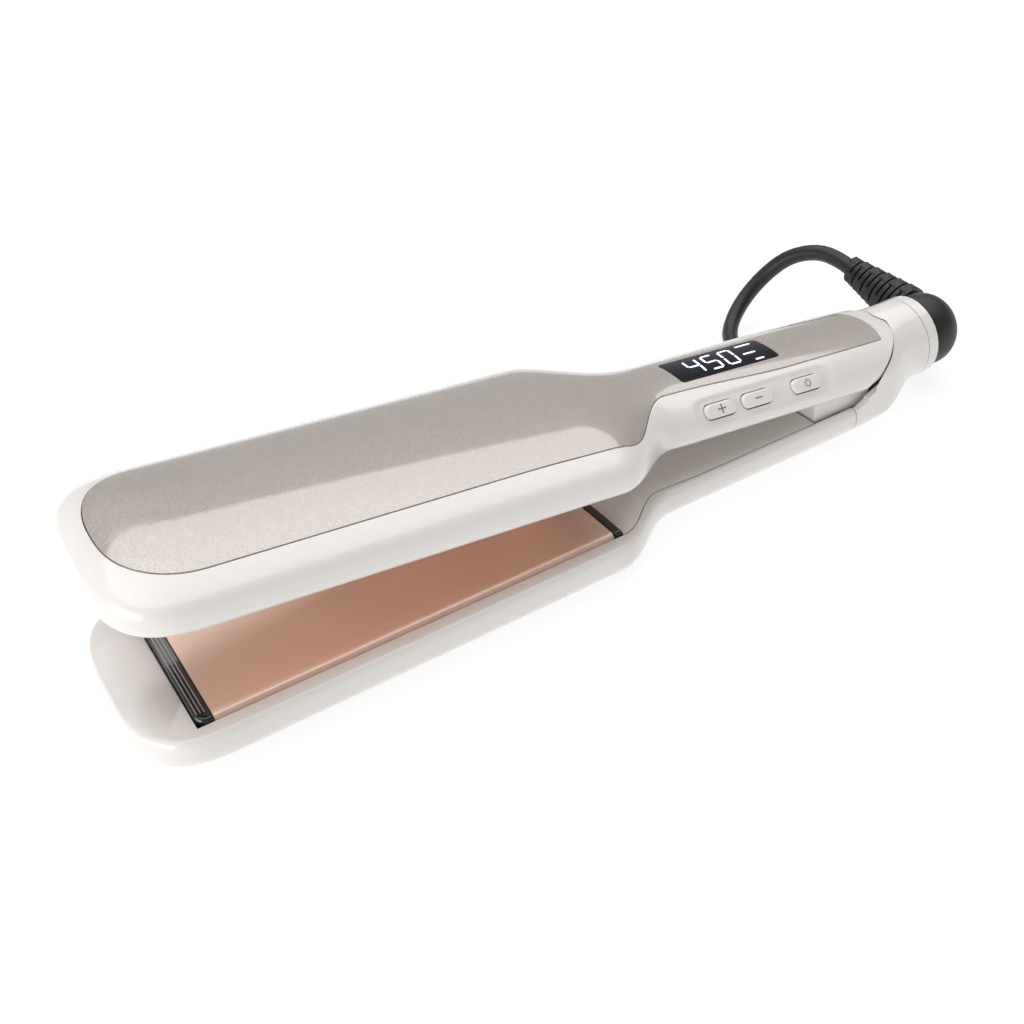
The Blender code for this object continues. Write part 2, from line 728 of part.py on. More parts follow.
def barrel_pieces(parent, swivel_body, swivel_origin):
    x0, x1 = COLLAR_X
    radius = BARREL_RADIUS
    lift = Matrix.Translation((0, 0, BARREL_Z))
    collar = ring_turned([(x0, 8.2), (x0, radius), (x1 - 0.5, radius), (x1, radius - 0.5), (x1, 8.2)])
    disc = turned([(174.9, 0), (174.9, 9.9), (176.2, 9.9), (176.2, 0)])
    hub = turned([(176.6, 0), (176.6, 9.6), (178.8, 9.6), (178.8, 7.8), (183.2, 7.8), (183.2, 0)])
    for name, mesh, finish, body, origin in (
        ("barrel_collar", collar, "white", parent, (0, 0, 0)),
        ("contact_disc", disc, "brass", parent, (0, 0, 0)),
        ("swivel_hub", hub, "black", swivel_body, swivel_origin),
    ):
        mesh.transform(lift)
        add(name, mesh, finish, body, origin)


def boot(swivel_body, swivel_origin):
    """The rubber elbow that turns on the barrel, with the tapered strain relief in one with it."""
    dome = [(183.5, 0), (183.5, 11.2), (184.1, 11.9), (189.5, 11.9)]
    for k in range(1, 8):
        angle = math.radians(90 * k / 7)
        dome.append((189.5 + 9.3 * math.sin(angle), 11.9 * math.cos(angle)))
    dome[-1] = (198.8, 0)
    mesh = turned(dome)
    mesh.transform(Matrix.Translation((0, 0, BARREL_Z)))
    made = add("cord_boot", mesh, "rubber", swivel_body, swivel_origin)
    start, end = Vector(BOOT_START), Vector(BOOT_END)
    axis = (end - start).normalized()
    side = axis.cross(Vector((1, 0, 0))).normalized()
    top = side.cross(axis)
    rows = []
    for along, radius in ((0.0, 6.5), (11.5, 6.6), (17.0, 5.9), (25.0, 4.7), (32.2, 3.8), (33.1, 3.2)):
        centre = start + axis * along
        rows.append([tuple(centre + side * radius * math.cos(a) + top * radius * math.sin(a))
                     for a in (2 * math.pi * k / 20 for k in range(20))])
    relief = cutter("relief", loft(rows, caps=(True, True)), swivel_body, swivel_origin)
    boolean(made, relief, "UNION")


def smooth_route(points, spacing):
    """Evenly spaced points on a Catmull-Rom curve through the route's points."""
    places = [Vector(p) for p in points]
    places = [places[0] * 2 - places[1], *places, places[-1] * 2 - places[-2]]
    fine = []
    for a, b, c, d in zip(places, places[1:], places[2:], places[3:]):
        for k in range(24):
            t = k / 24
            fine.append(0.5 * (2 * b + (c - a) * t + (2 * a - 5 * b + 4 * c - d) * t * t
                               + (3 * b - a - 3 * c + d) * t ** 3))
    fine.append(places[-2])
    spaced, left = [fine[0]], spacing
    for a, b in zip(fine, fine[1:]):
        step = (b - a).length
        while step >= left:
            a = a + (b - a) * (left / step)
            spaced.append(a)
            step = (b - a).length
            left = spacing
        left -= step
    if (spaced[-1] - fine[-1]).length < spacing / 2:
        spaced.pop()
    return [tuple(p) for p in [*spaced, fine[-1]]]


def racetrack(centre_y, radius, steps=10):
    """A closed outline of two straight runs and two round ends."""
    points = []
    for centre_x, turn in ((HANK_X[1], -90), (HANK_X[0], 90)):
        for k in range(steps + 1):
            angle = math.radians(turn + 180 * k / steps)
            points.append((centre_x + radius * math.cos(angle), centre_y + radius * math.sin(angle)))
    return points


def grown(outline, distance):
    """A convex outline moved outwards, for one that runs clockwise."""
    made = []
    for before, here, after in zip(outline[-1:] + outline[:-1], outline, outline[1:] + outline[:1]):
        a = (Vector(here) - Vector(before)).normalized()
        b = (Vector(after) - Vector(here)).normalized()
        out = Vector((-a.y, a.x)) + Vector((-b.y, b.x))
        made.append(tuple(Vector(here) + out * (distance / (1 + a.dot(b)))))
    return made


def cord_pieces(parent):
    """The lead from the boot to the hank, the stepped hank, its tie, and the tail to the plug."""
    radius = CORD_DIAMETER / 2
    add("cord_lead", tube(smooth_route(CORD_ROUTE, 10.0), radius), "rubber", parent)
    add("cord_tail", tube(smooth_route(TAIL_ROUTE, 5.2), radius), "rubber", parent)
    overlap, layers, corners = 0.02, [], []
    for level, rows in enumerate(HANK_ROWS):
        wide = HANK_HOLE + rows * CORD_DIAMETER
        centre_y, low = HANK_NEAR_Y + wide + level * 2 * overlap, HANK_BOTTOM + level * CORD_DIAMETER
        outlines = [racetrack(centre_y, wide), racetrack(centre_y, HANK_HOLE)]
        mesh = extruded(outlines, CORD_DIAMETER + overlap)
        mesh.transform(Matrix.Translation((0, 0, low + (CORD_DIAMETER + overlap) / 2)))
        layers.append(mesh)
        corners.append((HANK_NEAR_Y + 2 * wide, low + CORD_DIAMETER))
    hank = add("cord_hank", layers[0], "rubber", parent)
    for level, mesh in enumerate(layers[1:]):
        boolean(hank, cutter(f"hank_layer_{level + 2}", mesh, parent), "UNION")
    section = [(HANK_NEAR_Y, HANK_BOTTOM), (HANK_NEAR_Y, corners[-1][1]), corners[-1], corners[0],
               (corners[0][0], HANK_BOTTOM)]
    tie = along_x_ring(grown(section, GAP + TIE_THICKNESS), grown(section, GAP),
                       sum(HANK_X) / 2 - TIE_WIDTH / 2, TIE_WIDTH)
    add("cord_tie", tie, "black", parent)


def along_x_ring(outer, inner, low, width):
    mesh = extruded([outer, inner], width)
    mesh.transform(Matrix(((0, 0, 1, low + width / 2), (1, 0, 0, 0), (0, 1, 0, 0), (0, 0, 0, 1))))
    return mesh


def plug(parent):
    sections = ((PLUG_X[0], 3.3, 3.3, 2.0), (PLUG_X[1], 4.5, 4.5, 2.0), (PLUG_X[2], 8.6, 5.4, 3.0),
                (PLUG_X[2] + 4, 9.6, 5.9, 4.0), (PLUG_X[3] - 1, 9.6, 5.9, 4.0), (PLUG_X[3], 8.8, 5.2, 4.0))
    rows = []
    for x, half_y, half_z, power in sections:
        row = []
        for k in range(24):
            angle = 2 * math.pi * k / 24
            cos, sin = math.cos(angle), math.sin(angle)
            row.append((x, PLUG_Y + math.copysign(abs(cos) ** (2 / power), cos) * half_y,
                        PLUG_Z + math.copysign(abs(sin) ** (2 / power), sin) * half_z))
        rows.append(row)
    add("plug_body", shaded(loft(rows, caps=(True, True))), "rubber", parent)
    for name, shift in (("plug_blade_near", -6.35), ("plug_blade_far", 6.35)):
        low = (PLUG_X[3] + GAP, PLUG_Y + shift - 0.75, PLUG_Z - 3.15)
        high = (PLUG_X[3] + 17, PLUG_Y + shift + 0.75, PLUG_Z + 3.15)
        add(name, box(low, high), "brass", parent)


def build():
    root = frame_empty("lower_arm", ROOT_PLACE)
    hinge = (HINGE_X, 0, HINGE_Z)
    upper = frame_empty("arm_hinge", hinge, OPEN_ANGLE, root)
    lower_float = frame_empty("lower_float", (0, 0, 0), 0, root)
    upper_float = frame_empty("upper_float", (-HINGE_X, 0, -HINGE_Z), 0, upper)
    swivel_origin = (BOOT_START[0], 0, BARREL_Z)
    swivel = frame_empty("cord_swivel", swivel_origin, 0, root)
    button_bodies, at_hinge = {}, Vector(hinge)
    for name, x in BUTTON_X.items():
        place = Vector((x, *BUTTON_PLACE))
        button_bodies[name] = frame_empty(f"{name}_press", place - at_hinge, 0, upper)

    lower_housing = housing("lower_housing", LOWER, -1, root, (0, 0, 0), SPLIT_X)
    lower_cover = cover("lower_cover", LOWER, -1, root, (0, 0, 0), SPLIT_X)
    add("lower_inner_panel", panel_mesh(-1, PANEL_REAR_X), "white", root)
    add("spring_block", box((BLOCK_X[0], -BLOCK_HALF_WIDTH, -3.6), (BLOCK_X[1], BLOCK_HALF_WIDTH, BLOCK_TOP),
                            0.5), "white", root)
    add("power_board", box((80, -11, -9.5), (128, 11, -7.9)), "board", root)
    yoke(root, upper, hinge)
    hinge_pieces(root)
    barrel_pieces(root, swivel, swivel_origin)
    float_springs("lower", -1, root, (0, 0, 0))
    plate_set("lower", -1, lower_float, (0, 0, 0))

    upper_housing = housing("upper_housing", UPPER, 1, upper, hinge)
    upper_cover = cover("upper_cover", UPPER, 1, upper, hinge)
    add("upper_inner_panel", panel_mesh(1, PANEL_REAR_X), "white", upper, hinge)
    add("control_board", box((84, -9, 4.2), (129, 9, 5.6)), "board", upper, hinge)
    float_springs("upper", 1, upper, hinge)
    plate_set("upper", 1, upper_float, (0, 0, 0))
    knuckle(upper_housing, upper, hinge)
    display(upper_cover, upper, hinge)
    for name, body in button_bodies.items():
        body.location = (Vector((BUTTON_X[name], *BUTTON_PLACE)) - at_hinge) * MM
    buttons_and_switches(upper_housing, upper, button_bodies, hinge)
    for name, body in button_bodies.items():
        cap = bpy.data.objects[f"button_{name}"]
        cap.data.transform(Matrix.Translation((at_hinge - Vector((BUTTON_X[name], *BUTTON_PLACE))) * MM))

    boot(swivel, swivel_origin)
    cord_pieces(root)
    plug(root)
    return lower_housing, lower_cover


for old in list(bpy.data.objects):
    bpy.data.objects.remove(old)
PARTS = collection("flat_iron")
CUTTERS = collection("cutters")
build()
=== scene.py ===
# %% [markdown]
# # A hair flat iron, dressed piece by piece
# The iron has two long arms on one hinge. Each arm carries a heated plate, and the cord leaves the barrel at the
# rear through a rubber elbow that swivels. The moving frame comes ready made, so this lesson only makes what is
# seen: smooth shells, glossy buttons, lit digits, the ribbed elbow and the cord. First the frame is loaded. Nothing
# made here may stand outside it.

# %% The frame
import json
import math

import bmesh
import bpy
import numpy as np
from mathutils import Matrix, Vector


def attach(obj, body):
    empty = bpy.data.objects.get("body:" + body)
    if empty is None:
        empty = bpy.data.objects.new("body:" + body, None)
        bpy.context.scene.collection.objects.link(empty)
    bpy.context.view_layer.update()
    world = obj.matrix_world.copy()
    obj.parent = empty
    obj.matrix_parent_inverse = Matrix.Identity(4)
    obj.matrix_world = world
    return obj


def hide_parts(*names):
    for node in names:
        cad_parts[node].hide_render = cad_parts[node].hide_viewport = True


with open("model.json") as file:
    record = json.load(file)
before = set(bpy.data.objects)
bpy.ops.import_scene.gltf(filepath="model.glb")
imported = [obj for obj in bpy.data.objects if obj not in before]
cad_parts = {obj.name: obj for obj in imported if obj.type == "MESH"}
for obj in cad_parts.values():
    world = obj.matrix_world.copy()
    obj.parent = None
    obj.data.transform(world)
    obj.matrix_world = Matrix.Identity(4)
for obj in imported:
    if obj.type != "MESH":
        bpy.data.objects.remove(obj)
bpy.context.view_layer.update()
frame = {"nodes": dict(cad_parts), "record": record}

# %% [markdown]
# The arms are easiest to describe in millimetres, closed, with the plates' meeting plane at zero height and the
# middle of the plates at zero length. One matrix takes that drawing to the frame, and a second one first lifts a
# point about the hinge, for everything on the upper arm. Working in a drawing like this keeps the numbers short,
# and the sizes of the two arms can be compared directly.

# %% From the drawing to the frame
MM = 0.001
PLATE_MIDDLE = 55.05
BELLY = 14.9
HINGE = Vector((170.1, 0, -0.62))
OPEN_ANGLE = math.radians(6.75)

to_lower = Matrix.Scale(MM, 4) @ Matrix.Translation((-PLATE_MIDDLE, 0, BELLY))
lift = Matrix.Translation(HINGE) @ Matrix.Rotation(OPEN_ANGLE, 4, "Y") @ Matrix.Translation(-HINGE)
to_upper = to_lower @ lift
print("tip of the closed upper arm lands at", tuple(round(v, 4) for v in to_upper @ Vector((-73.1, 0, 5))))

# %% [markdown]
# The camera looks down on the iron from the button side and from in front of the tip, and it is tilted a little
# round its own line of sight. Its lens is 45 mm on a 36 mm sensor, close enough to the iron for the tip to look
# much larger than the cord end. A matrix built from three directions sets all of that at once.

# %% Camera
def look(azimuth, elevation, roll):
    """The camera's right, up and forward directions."""
    a, e, r = (math.radians(v) for v in (azimuth, elevation, roll))
    forward = -Vector((math.sin(a) * math.cos(e), -math.cos(a) * math.cos(e), math.sin(e)))
    right = forward.cross(Vector((0, 0, 1))).normalized()
    up = right.cross(forward)
    return right * math.cos(r) + up * math.sin(r), up * math.cos(r) - right * math.sin(r), forward


right, up, forward = look(-27.97, 36.18, -5.87)
eye = to_lower @ Vector((-90.5, -245.1, 202.0))
camera = bpy.data.objects.new("camera", bpy.data.cameras.new("camera"))
bpy.context.scene.collection.objects.link(camera)
camera.data.sensor_width = 36
camera.data.lens = 45.44
camera.data.clip_start = 0.01
camera.matrix_world = Matrix.LocRotScale(eye, Matrix((right, up, -forward)).transposed().to_quaternion(), None)
bpy.context.scene.camera = camera
print("camera at", tuple(round(v, 3) for v in eye))

# %% [markdown]
# Small helpers come next. A free object gets its mesh, its finish and its name in one call, and a piece is tied to
# the body it moves with, while the nodes it stands for are hidden. Every helper works on plain meshes, so that
# each finished piece sits at the origin with its place in its vertices.

# %% Helpers for meshes and pieces
def show(name, mesh):
    """A mesh or curve as an object in the scene."""
    made = bpy.data.objects.new(name, mesh)
    bpy.context.scene.collection.objects.link(made)
    return made


def piece(name, mesh, finish, body, stands_for=()):
    """A finished piece: named, given its finish, and moved with its body."""
    mesh.materials.clear()
    mesh.materials.append(finish)
    made = show(name, mesh)
    mesh.name = name
    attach(made, body)
    if stands_for:
        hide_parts(*stands_for)
    return made


def evaluated(obj):
    """The object's mesh with its modifiers applied; the object itself is removed."""
    graph = bpy.context.evaluated_depsgraph_get()
    graph.update()
    mesh = bpy.data.meshes.new_from_object(obj.evaluated_get(graph))
    bpy.data.objects.remove(obj)
    return mesh


FINE, COARSE = 1e-5, 1e-4


def tidied(mesh, angle=32, merge=FINE):
    """Doubles merged, faces turned outwards, and shaded smooth except across real corners."""
    bm = bmesh.new()
    bm.from_mesh(mesh)
    bmesh.ops.remove_doubles(bm, verts=bm.verts, dist=merge)
    bmesh.ops.dissolve_degenerate(bm, edges=bm.edges, dist=merge)
    bmesh.ops.recalc_face_normals(bm, faces=bm.faces)
    bm.to_mesh(mesh)
    bm.free()
    mesh.shade_smooth()
    mesh.set_sharp_from_angle(angle=math.radians(angle))
    return mesh


def skin_of(rows, closed=True, caps=(False, False), ring=False):
    """A mesh stretched over rows of points."""
    count = len(rows[0])
    points = [p for row in rows for p in row]
    faces = []
    pairs = [(i, i + 1) for i in range(len(rows) - 1)] + ([(len(rows) - 1, 0)] if ring else [])
    for i, j in pairs:
        for k in range(count if closed else count - 1):
            m = (k + 1) % count
            faces.append((i * count + k, j * count + k, j * count + m, i * count + m))
    if caps[0]:
        faces.append(tuple(range(count)))
    if caps[1]:
        faces.append(tuple(reversed(range((len(rows) - 1) * count, len(rows) * count))))
    mesh = bpy.data.meshes.new("skin")
    mesh.from_pydata(points, [], faces)
    return mesh


def mix(a, b, share):
    return a + (b - a) * share


def ease(x, low, high):
    t = min(1.0, max(0.0, (x - low) / (high - low)))
    return t * t * (3 - 2 * t)


def squared(value, power):
    """A cosine or sine pushed outwards, which turns a circle into a squarer ring."""
    return math.copysign(abs(value) ** (2 / power), value)


def arc(start, end, count):
    """The cosine and sine of evenly spaced angles, in degrees."""
    return [(math.cos(a), math.sin(a)) for a in np.radians(np.linspace(start, end, count))]


def solid_of(rows):
    return skin_of(rows, caps=(True, True))


def placed(mesh, place):
    mesh.transform(place)
    return mesh


def cut(mesh, tools, operation="DIFFERENCE"):
    """The mesh after each tool mesh in turn is cut from it."""
    body = show("cutting", mesh)
    helpers = []
    for tool in tools:
        helper = show("tool", tool)
        helpers.append(helper)
        step = body.modifiers.new("cut", "BOOLEAN")
        step.operation, step.object, step.solver = operation, helper, "EXACT"
    made = evaluated(body)
    for helper in helpers:
        bpy.data.objects.remove(helper)
    return made


print("helpers ready")

# %% [markdown]
# The mains cord is a real length of flexible lead: 1.8 m, 5.2 mm thick, with a two-pin plug. Such irons have about
# that much. It leaves the elbow, falls in one arch to the table behind the handle, and the rest is folded into a
# hank that lies close behind the plates. The hank has three turns on the table, two on those and one on top, each
# one diameter further in, and its folds stay wider than six diameters. One curve carries it all, so its length can
# simply be added up and printed: it comes within a few per cent of the real one.

# %% Cord route
CORD, CURVE_STEPS = 5.2, 3
LEAD = ((190.0, 32.62, 9.12), (189.7, 38.0, 10.3), (188.6, 44.9, 10.8), (186.2, 51.3, 9.3), (182.9, 56.5, 6.2),
        (178.9, 60.1, 1.7), (173.9, 61.7, -2.9), (168.3, 61.2, -7.0), (162.6, 58.6, -10.2), (157.6, 54.1, -11.8),
        (154.0, 48.2, -12.2), (151.2, 41.0, -12.25), (147.8, 34.0, -12.25), (143.0, 28.0, -12.25),
        (136.6, 23.6, -12.25), (128.8, 21.0, -12.25), (120.0, 20.0, -12.25), (110.0, 19.8, -12.25),
        (99.0, 20.3, -12.25), (88.5, 22.2, -12.25), (79.0, 25.6, -12.25), (71.0, 29.4, -12.25),
        (63.5, 32.8, -12.15), (55.5, 34.6, -11.8), (47.2, 34.8, -11.5))
TAIL = ((43.2, 66.0, -0.7), (49.4, 65.1, -0.7), (55.4, 61.3, -1.0), (60.4, 55.2, -2.3), (64.6, 47.6, -4.4),
        (69.0, 39.7, -6.9), (74.0, 34.7, -8.5), (78.6, 33.0, -8.7), (81.6, 33.0, -8.7))
HANK_X = (-36.0, 30.0)
NEAR = (34.8, 40.0, 45.2, 40.0, 34.8, 34.8)
FAR = (86.8, 81.6, 76.4, 71.2, 76.4, 66.0)
LAYER = (-11.45, -11.45, -11.45, -6.25, -6.25, -1.05)


def catmull(points, steps):
    """A smooth line through the points."""
    places = [Vector(p) for p in points]
    places = [places[0] * 2 - places[1], *places, places[-1] * 2 - places[-2]]
    line = []
    for a, b, c, d in zip(places, places[1:], places[2:], places[3:]):
        for k in range(steps):
            t = k / steps
            line.append(0.5 * (2 * b + (c - a) * t + (2 * a - 5 * b + 4 * c - d) * t * t
                               + (3 * b - a - 3 * c + d) * t ** 3))
    return line + [places[-2]]


def fold(x, y_from, y_to, z_from, z_to, side, steps=12):
    """A half turn of the hank, which may climb to the next layer."""
    centre, radius = (y_from + y_to) / 2, abs(y_to - y_from) / 2
    return [Vector((x + side * radius * sin, centre + (y_from - centre) * cos, mix(z_from, z_to, k / steps)))
            for k, (cos, sin) in enumerate(arc(0, 180, steps + 1))][1:-1]


route = catmull(LEAD, CURVE_STEPS)
for turn, z in enumerate(LAYER):
    route += [Vector((mix(HANK_X[1], HANK_X[0], k / 4), NEAR[turn], z)) for k in range(5)]
    route += fold(HANK_X[0], NEAR[turn], FAR[turn], z, z, -1)
    route += [Vector((mix(HANK_X[0], HANK_X[1], k / 4), FAR[turn], z)) for k in range(5)]
    if turn + 1 < len(LAYER):
        route += fold(HANK_X[1], FAR[turn], NEAR[turn + 1], z, LAYER[turn + 1], 1)
route += catmull(TAIL, CURVE_STEPS)
route = [to_lower @ p for p in route]
cord_length = sum((b - a).length for a, b in zip(route, route[1:]))
print(f"cord: {len(route)} points, {cord_length:.3f} m long")

# %% [markdown]
# Every finish, the sky and the Geometry Nodes trees are made of nodes, so one helper makes a node and feeds its
# inputs, either with a number or with the node that drives it. A finish starts as a Principled shader. Its grain is
# a fine bump, and its clouds are a slow change of one value, which keeps a black piece from looking like a hole.
# All of them use Object coordinates, so that the grain stays on the piece when the arms move.

# %% Node and finish helpers
GRAIN_DEPTH = 0.0001


def node(tree, kind, feed=None, **settings):
    """A new node; feed pairs an input with a number, an output, or a node whose first output drives it."""
    made = tree.nodes.new(kind)
    for key, value in settings.items():
        setattr(made, key, value)
    for socket, value in (feed or {}).items():
        if isinstance(value, bpy.types.Node):
            value = value.outputs[0]
        if isinstance(value, bpy.types.NodeSocket):
            tree.links.new(value, made.inputs[socket])
        else:
            made.inputs[socket].default_value = value
    return made


def ramp_of(tree, value, stops):
    """A ramp through the stops; each stop is a position with a grey level or a colour."""
    ramp = node(tree, "ShaderNodeValToRGB", {"Fac": value})
    elements = ramp.color_ramp.elements
    while len(elements) < len(stops):
        elements.new(0.5)
    for element, (position, level) in zip(elements, stops):
        element.position = position
        element.color = (*level, 1) if isinstance(level, tuple) else (level, level, level, 1)
    return ramp


def finish(name, colour, roughness, metallic=0.0, **sockets):
    """A Principled finish; the named sockets hold the numbers that are the same all over."""
    made = bpy.data.materials.new(name)
    made.use_nodes = True
    shader = made.node_tree.nodes["Principled BSDF"]
    shader.inputs["Base Color"].default_value = (*colour, 1)
    shader.inputs["Roughness"].default_value = roughness
    shader.inputs["Metallic"].default_value = metallic
    for socket, value in sockets.items():
        shader.inputs[socket.replace("_", " ")].default_value = value
    return made


def drive(made, socket, output):
    made.node_tree.links.new(output, made.node_tree.nodes["Principled BSDF"].inputs[socket])
    return made


def grain(made, scale, strength, stretch=(1, 1, 1)):
    """Adds a fine bump to a finish."""
    tree = made.node_tree
    place = node(tree, "ShaderNodeTexCoord").outputs["Object"]
    turn = node(tree, "ShaderNodeMapping", {"Vector": place, "Scale": stretch})
    noise = node(tree, "ShaderNodeTexNoise", {"Vector": turn, "Scale": scale, "Detail": 4})
    bump = node(tree, "ShaderNodeBump", {"Height": noise, "Strength": strength, "Distance": GRAIN_DEPTH})
    return drive(made, "Normal", bump.outputs["Normal"])


def clouded(made, socket, scale, low, high):
    """Lets a number or a colour of a finish drift slowly between two values."""
    tree = made.node_tree
    place = node(tree, "ShaderNodeTexCoord").outputs["Object"]
    noise = node(tree, "ShaderNodeTexNoise", {"Vector": place, "Scale": scale, "Detail": 2})
    ramp = ramp_of(tree, noise.outputs["Fac"], ((0.35, low), (0.65, high)))
    return drive(made, socket, ramp.outputs["Color"])


rubber = grain(finish("black rubber", (0.012, 0.012, 0.013), 0.42, Specular_IOR_Level=0.45), 900, 0.25)
rubber = clouded(rubber, "Roughness", 60, 0.36, 0.48)
print("first finish:", rubber.name)

# %% [markdown]
# The cord itself is the route as a curve with a round bevel, in dull black rubber. A curve stays one continuous
# form, with no seam where two pieces would meet.

# %% Cord
line = bpy.data.curves.new("cord", "CURVE")
line.dimensions = "3D"
line.bevel_depth = CORD / 2 * MM
line.bevel_resolution = 4
line.use_fill_caps = True
spline = line.splines.new("POLY")
spline.points.add(len(route) - 1)
for point, place in zip(spline.points, route):
    point.co = (*place, 1)
line.materials.append(rubber)
cord = show("mains_cord", line)
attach(cord, "lower_arm")
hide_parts("cord_lead", "cord_tail", "cord_hank")
print("cord laid")

# %% [markdown]
# Both arms share one form. Seen from above it is a wide rounded paddle that narrows to a slim handle; cut across,
# it is a soft arch. So the shell is drawn as many crossings, each from the arm's spine to its outline: a fan of
# them goes round the tip, straight ones run along the side, and on the upper arm another fan closes the round rear
# end. Every crossing follows the same arch formula, which is why the reflections run along the arm without a
# wobble. Modelling half and mirroring it keeps the two sides alike.

# %% The arm's form
ARM_WIDTH, HANDLE_WIDTH = 31.1, 17.7
DROP, FACE, WALL = 1.45, 1.11, 1.6
TIP_SPINE, REAR_SPINE, SPLIT = -48.0, 149.3, 145.5
TIP_LENGTH, TIP_POWER = 25.1, 3.3
TIP_SEAM, TIP_SEAM_POWER, WIDE_SEAM, HANDLE_SEAM = 19.2, 2.5, 23.6, 8.4
TIP_OPENING, WIDE_OPENING, HANDLE_OPENING = 10.7, 25.9, 14.6
FLANK, HANDLE_FLANK = 5.0, 4.15
ARCH_POWER, HANDLE_POWER = 2.42, 2.14
COVER_END, COVER_BOW = 11.5, 58
HAIR = 1e-6
UPPER = {"crest": 14.1, "handle": 14.16, "belly": 99.0}
LOWER = {"crest": 15.1, "handle": 13.8, "belly": BELLY}


def reach_of(dx, dy, half_x, half_y, power):
    return ((abs(dx) / half_x) ** power + (abs(dy) / half_y) ** power) ** (-1 / power)


def outline_at(x):
    return mix(ARM_WIDTH, HANDLE_WIDTH, ease(x, 54, 80))


def seam_at(x):
    return mix(WIDE_SEAM + 0.7 * ease(x, 30, 58), HANDLE_SEAM, ease(x, 59.5, 82)) + 1.9 * ease(x, 84, 125)


def opening_at(x):
    return mix(WIDE_OPENING, HANDLE_OPENING, ease(x, 57.9, 77)) + 0.6 * ease(x, 78, 92)


def crossing(spine, end, seam, opening, arm, share):
    """The sizes of one crossing; share goes from 0 on the paddle to 1 on the handle."""
    reach = math.hypot(end[0] - spine, end[1])
    return {"spine": spine, "end": end, "reach": reach, "seam": seam / reach,
            "opening": min(opening / reach, 1 - 2.5 / reach), "widest": mix(FLANK, HANDLE_FLANK, share),
            "drop": mix(0, DROP, share), "crest": mix(arm["crest"], arm["handle"], share),
            "belly": arm["belly"] - mix(0, DROP, share), "power": mix(ARCH_POWER, HANDLE_POWER, share),
            "nose": 0.0, "face": FACE, "extruded": False}


def height_at(c, share, inset=0.0):
    """The arch's height at a share of the way from the spine to the outline."""
    if c["extruded"]:
        ratio = share * c["end"][1] / (HANDLE_WIDTH - inset)
    else:
        ratio = share / (1 - inset / c["reach"])
    arch = (1 - min(1.0, ratio) ** c["power"]) ** (1 / c["power"])
    return min(c["widest"] + (c["crest"] - inset - c["widest"]) * arch, c["belly"] - inset)


def crossings(arm, stop=None):
    """All crossings of half an arm, from the tip to the rear end or to a flat stop."""
    made = []
    corner = math.degrees(math.atan2(WIDE_OPENING, TIP_OPENING))
    for degrees in sorted({*np.linspace(0, 87, 30), corner}):
        dx, dy = math.cos(math.radians(degrees)), math.sin(math.radians(degrees))
        reach = reach_of(dx, dy, TIP_LENGTH, ARM_WIDTH, TIP_POWER)
        seam = reach_of(dx, dy, TIP_SEAM, WIDE_SEAM, TIP_SEAM_POWER)
        opening = min(TIP_OPENING / max(dx, HAIR), WIDE_OPENING / max(dy, HAIR))
        made.append(crossing(TIP_SPINE, (TIP_SPINE - reach * dx, reach * dy), seam, opening, arm, 0))
    places = [*np.arange(-48, 48, 4), *np.arange(48, 86, 1.0), *np.arange(86, 139, 0.7), *np.arange(139, 149, 2)]
    end = stop or REAR_SPINE
    for x in [x for x in places if x < end - 0.3] + ([stop] if stop else []):
        made.append(crossing(x, (x, outline_at(x)), seam_at(x), opening_at(x), arm, ease(x, 52, 86)))
    if stop:
        return made
    for degrees in np.linspace(90, 0, 31):
        along, across = math.cos(math.radians(degrees)), math.sin(math.radians(degrees))
        bow = max(across, 1e-3) ** 2 / COVER_BOW
        seam = (math.sqrt(along ** 2 + 4 * bow * COVER_END) - along) / (2 * bow)
        seam = min(seam, seam_at(REAR_SPINE) / max(across, HAIR))
        place = (REAR_SPINE + HANDLE_WIDTH * along, HANDLE_WIDTH * across)
        c = crossing(REAR_SPINE, place, seam, HANDLE_WIDTH - 2.3, arm, 1)
        c["nose"], c["extruded"] = ease(90 - degrees, 0, 24), True
        c["face"] = FACE + 0.75 * (height_at(c, 1) - c["widest"])
        made.append(c)
    return made


def at(c, share, height):
    """The point of a crossing at a share of its reach."""
    return (c["spine"] + (c["end"][0] - c["spine"]) * share, c["end"][1] * share, height)


upper_crossings, lower_crossings = crossings(UPPER), crossings(LOWER, SPLIT)
print(len(upper_crossings), "crossings on half the upper arm,", len(lower_crossings), "on the lower")

# %% [markdown]
# The housing is the white shell that goes round the arm from the cover's seam, over the widest line, to the lip
# round the plate. The cover is the coloured lid that fills what is left. Both have a wall and slightly rounded
# edges at the seam, because a moulded edge is never knife sharp, and the thin dark line between them is simply the
# gap of a fifth of a millimetre.

# %% Housing and cover shells
SEAM_GAP, EDGE_DROP, EDGE_ROUND = 0.1, 0.35, 0.1
FOOT, NOSE_FOOT, LIP, NOSE_LIP = 2.0, 0.5, 1.5, 0.9


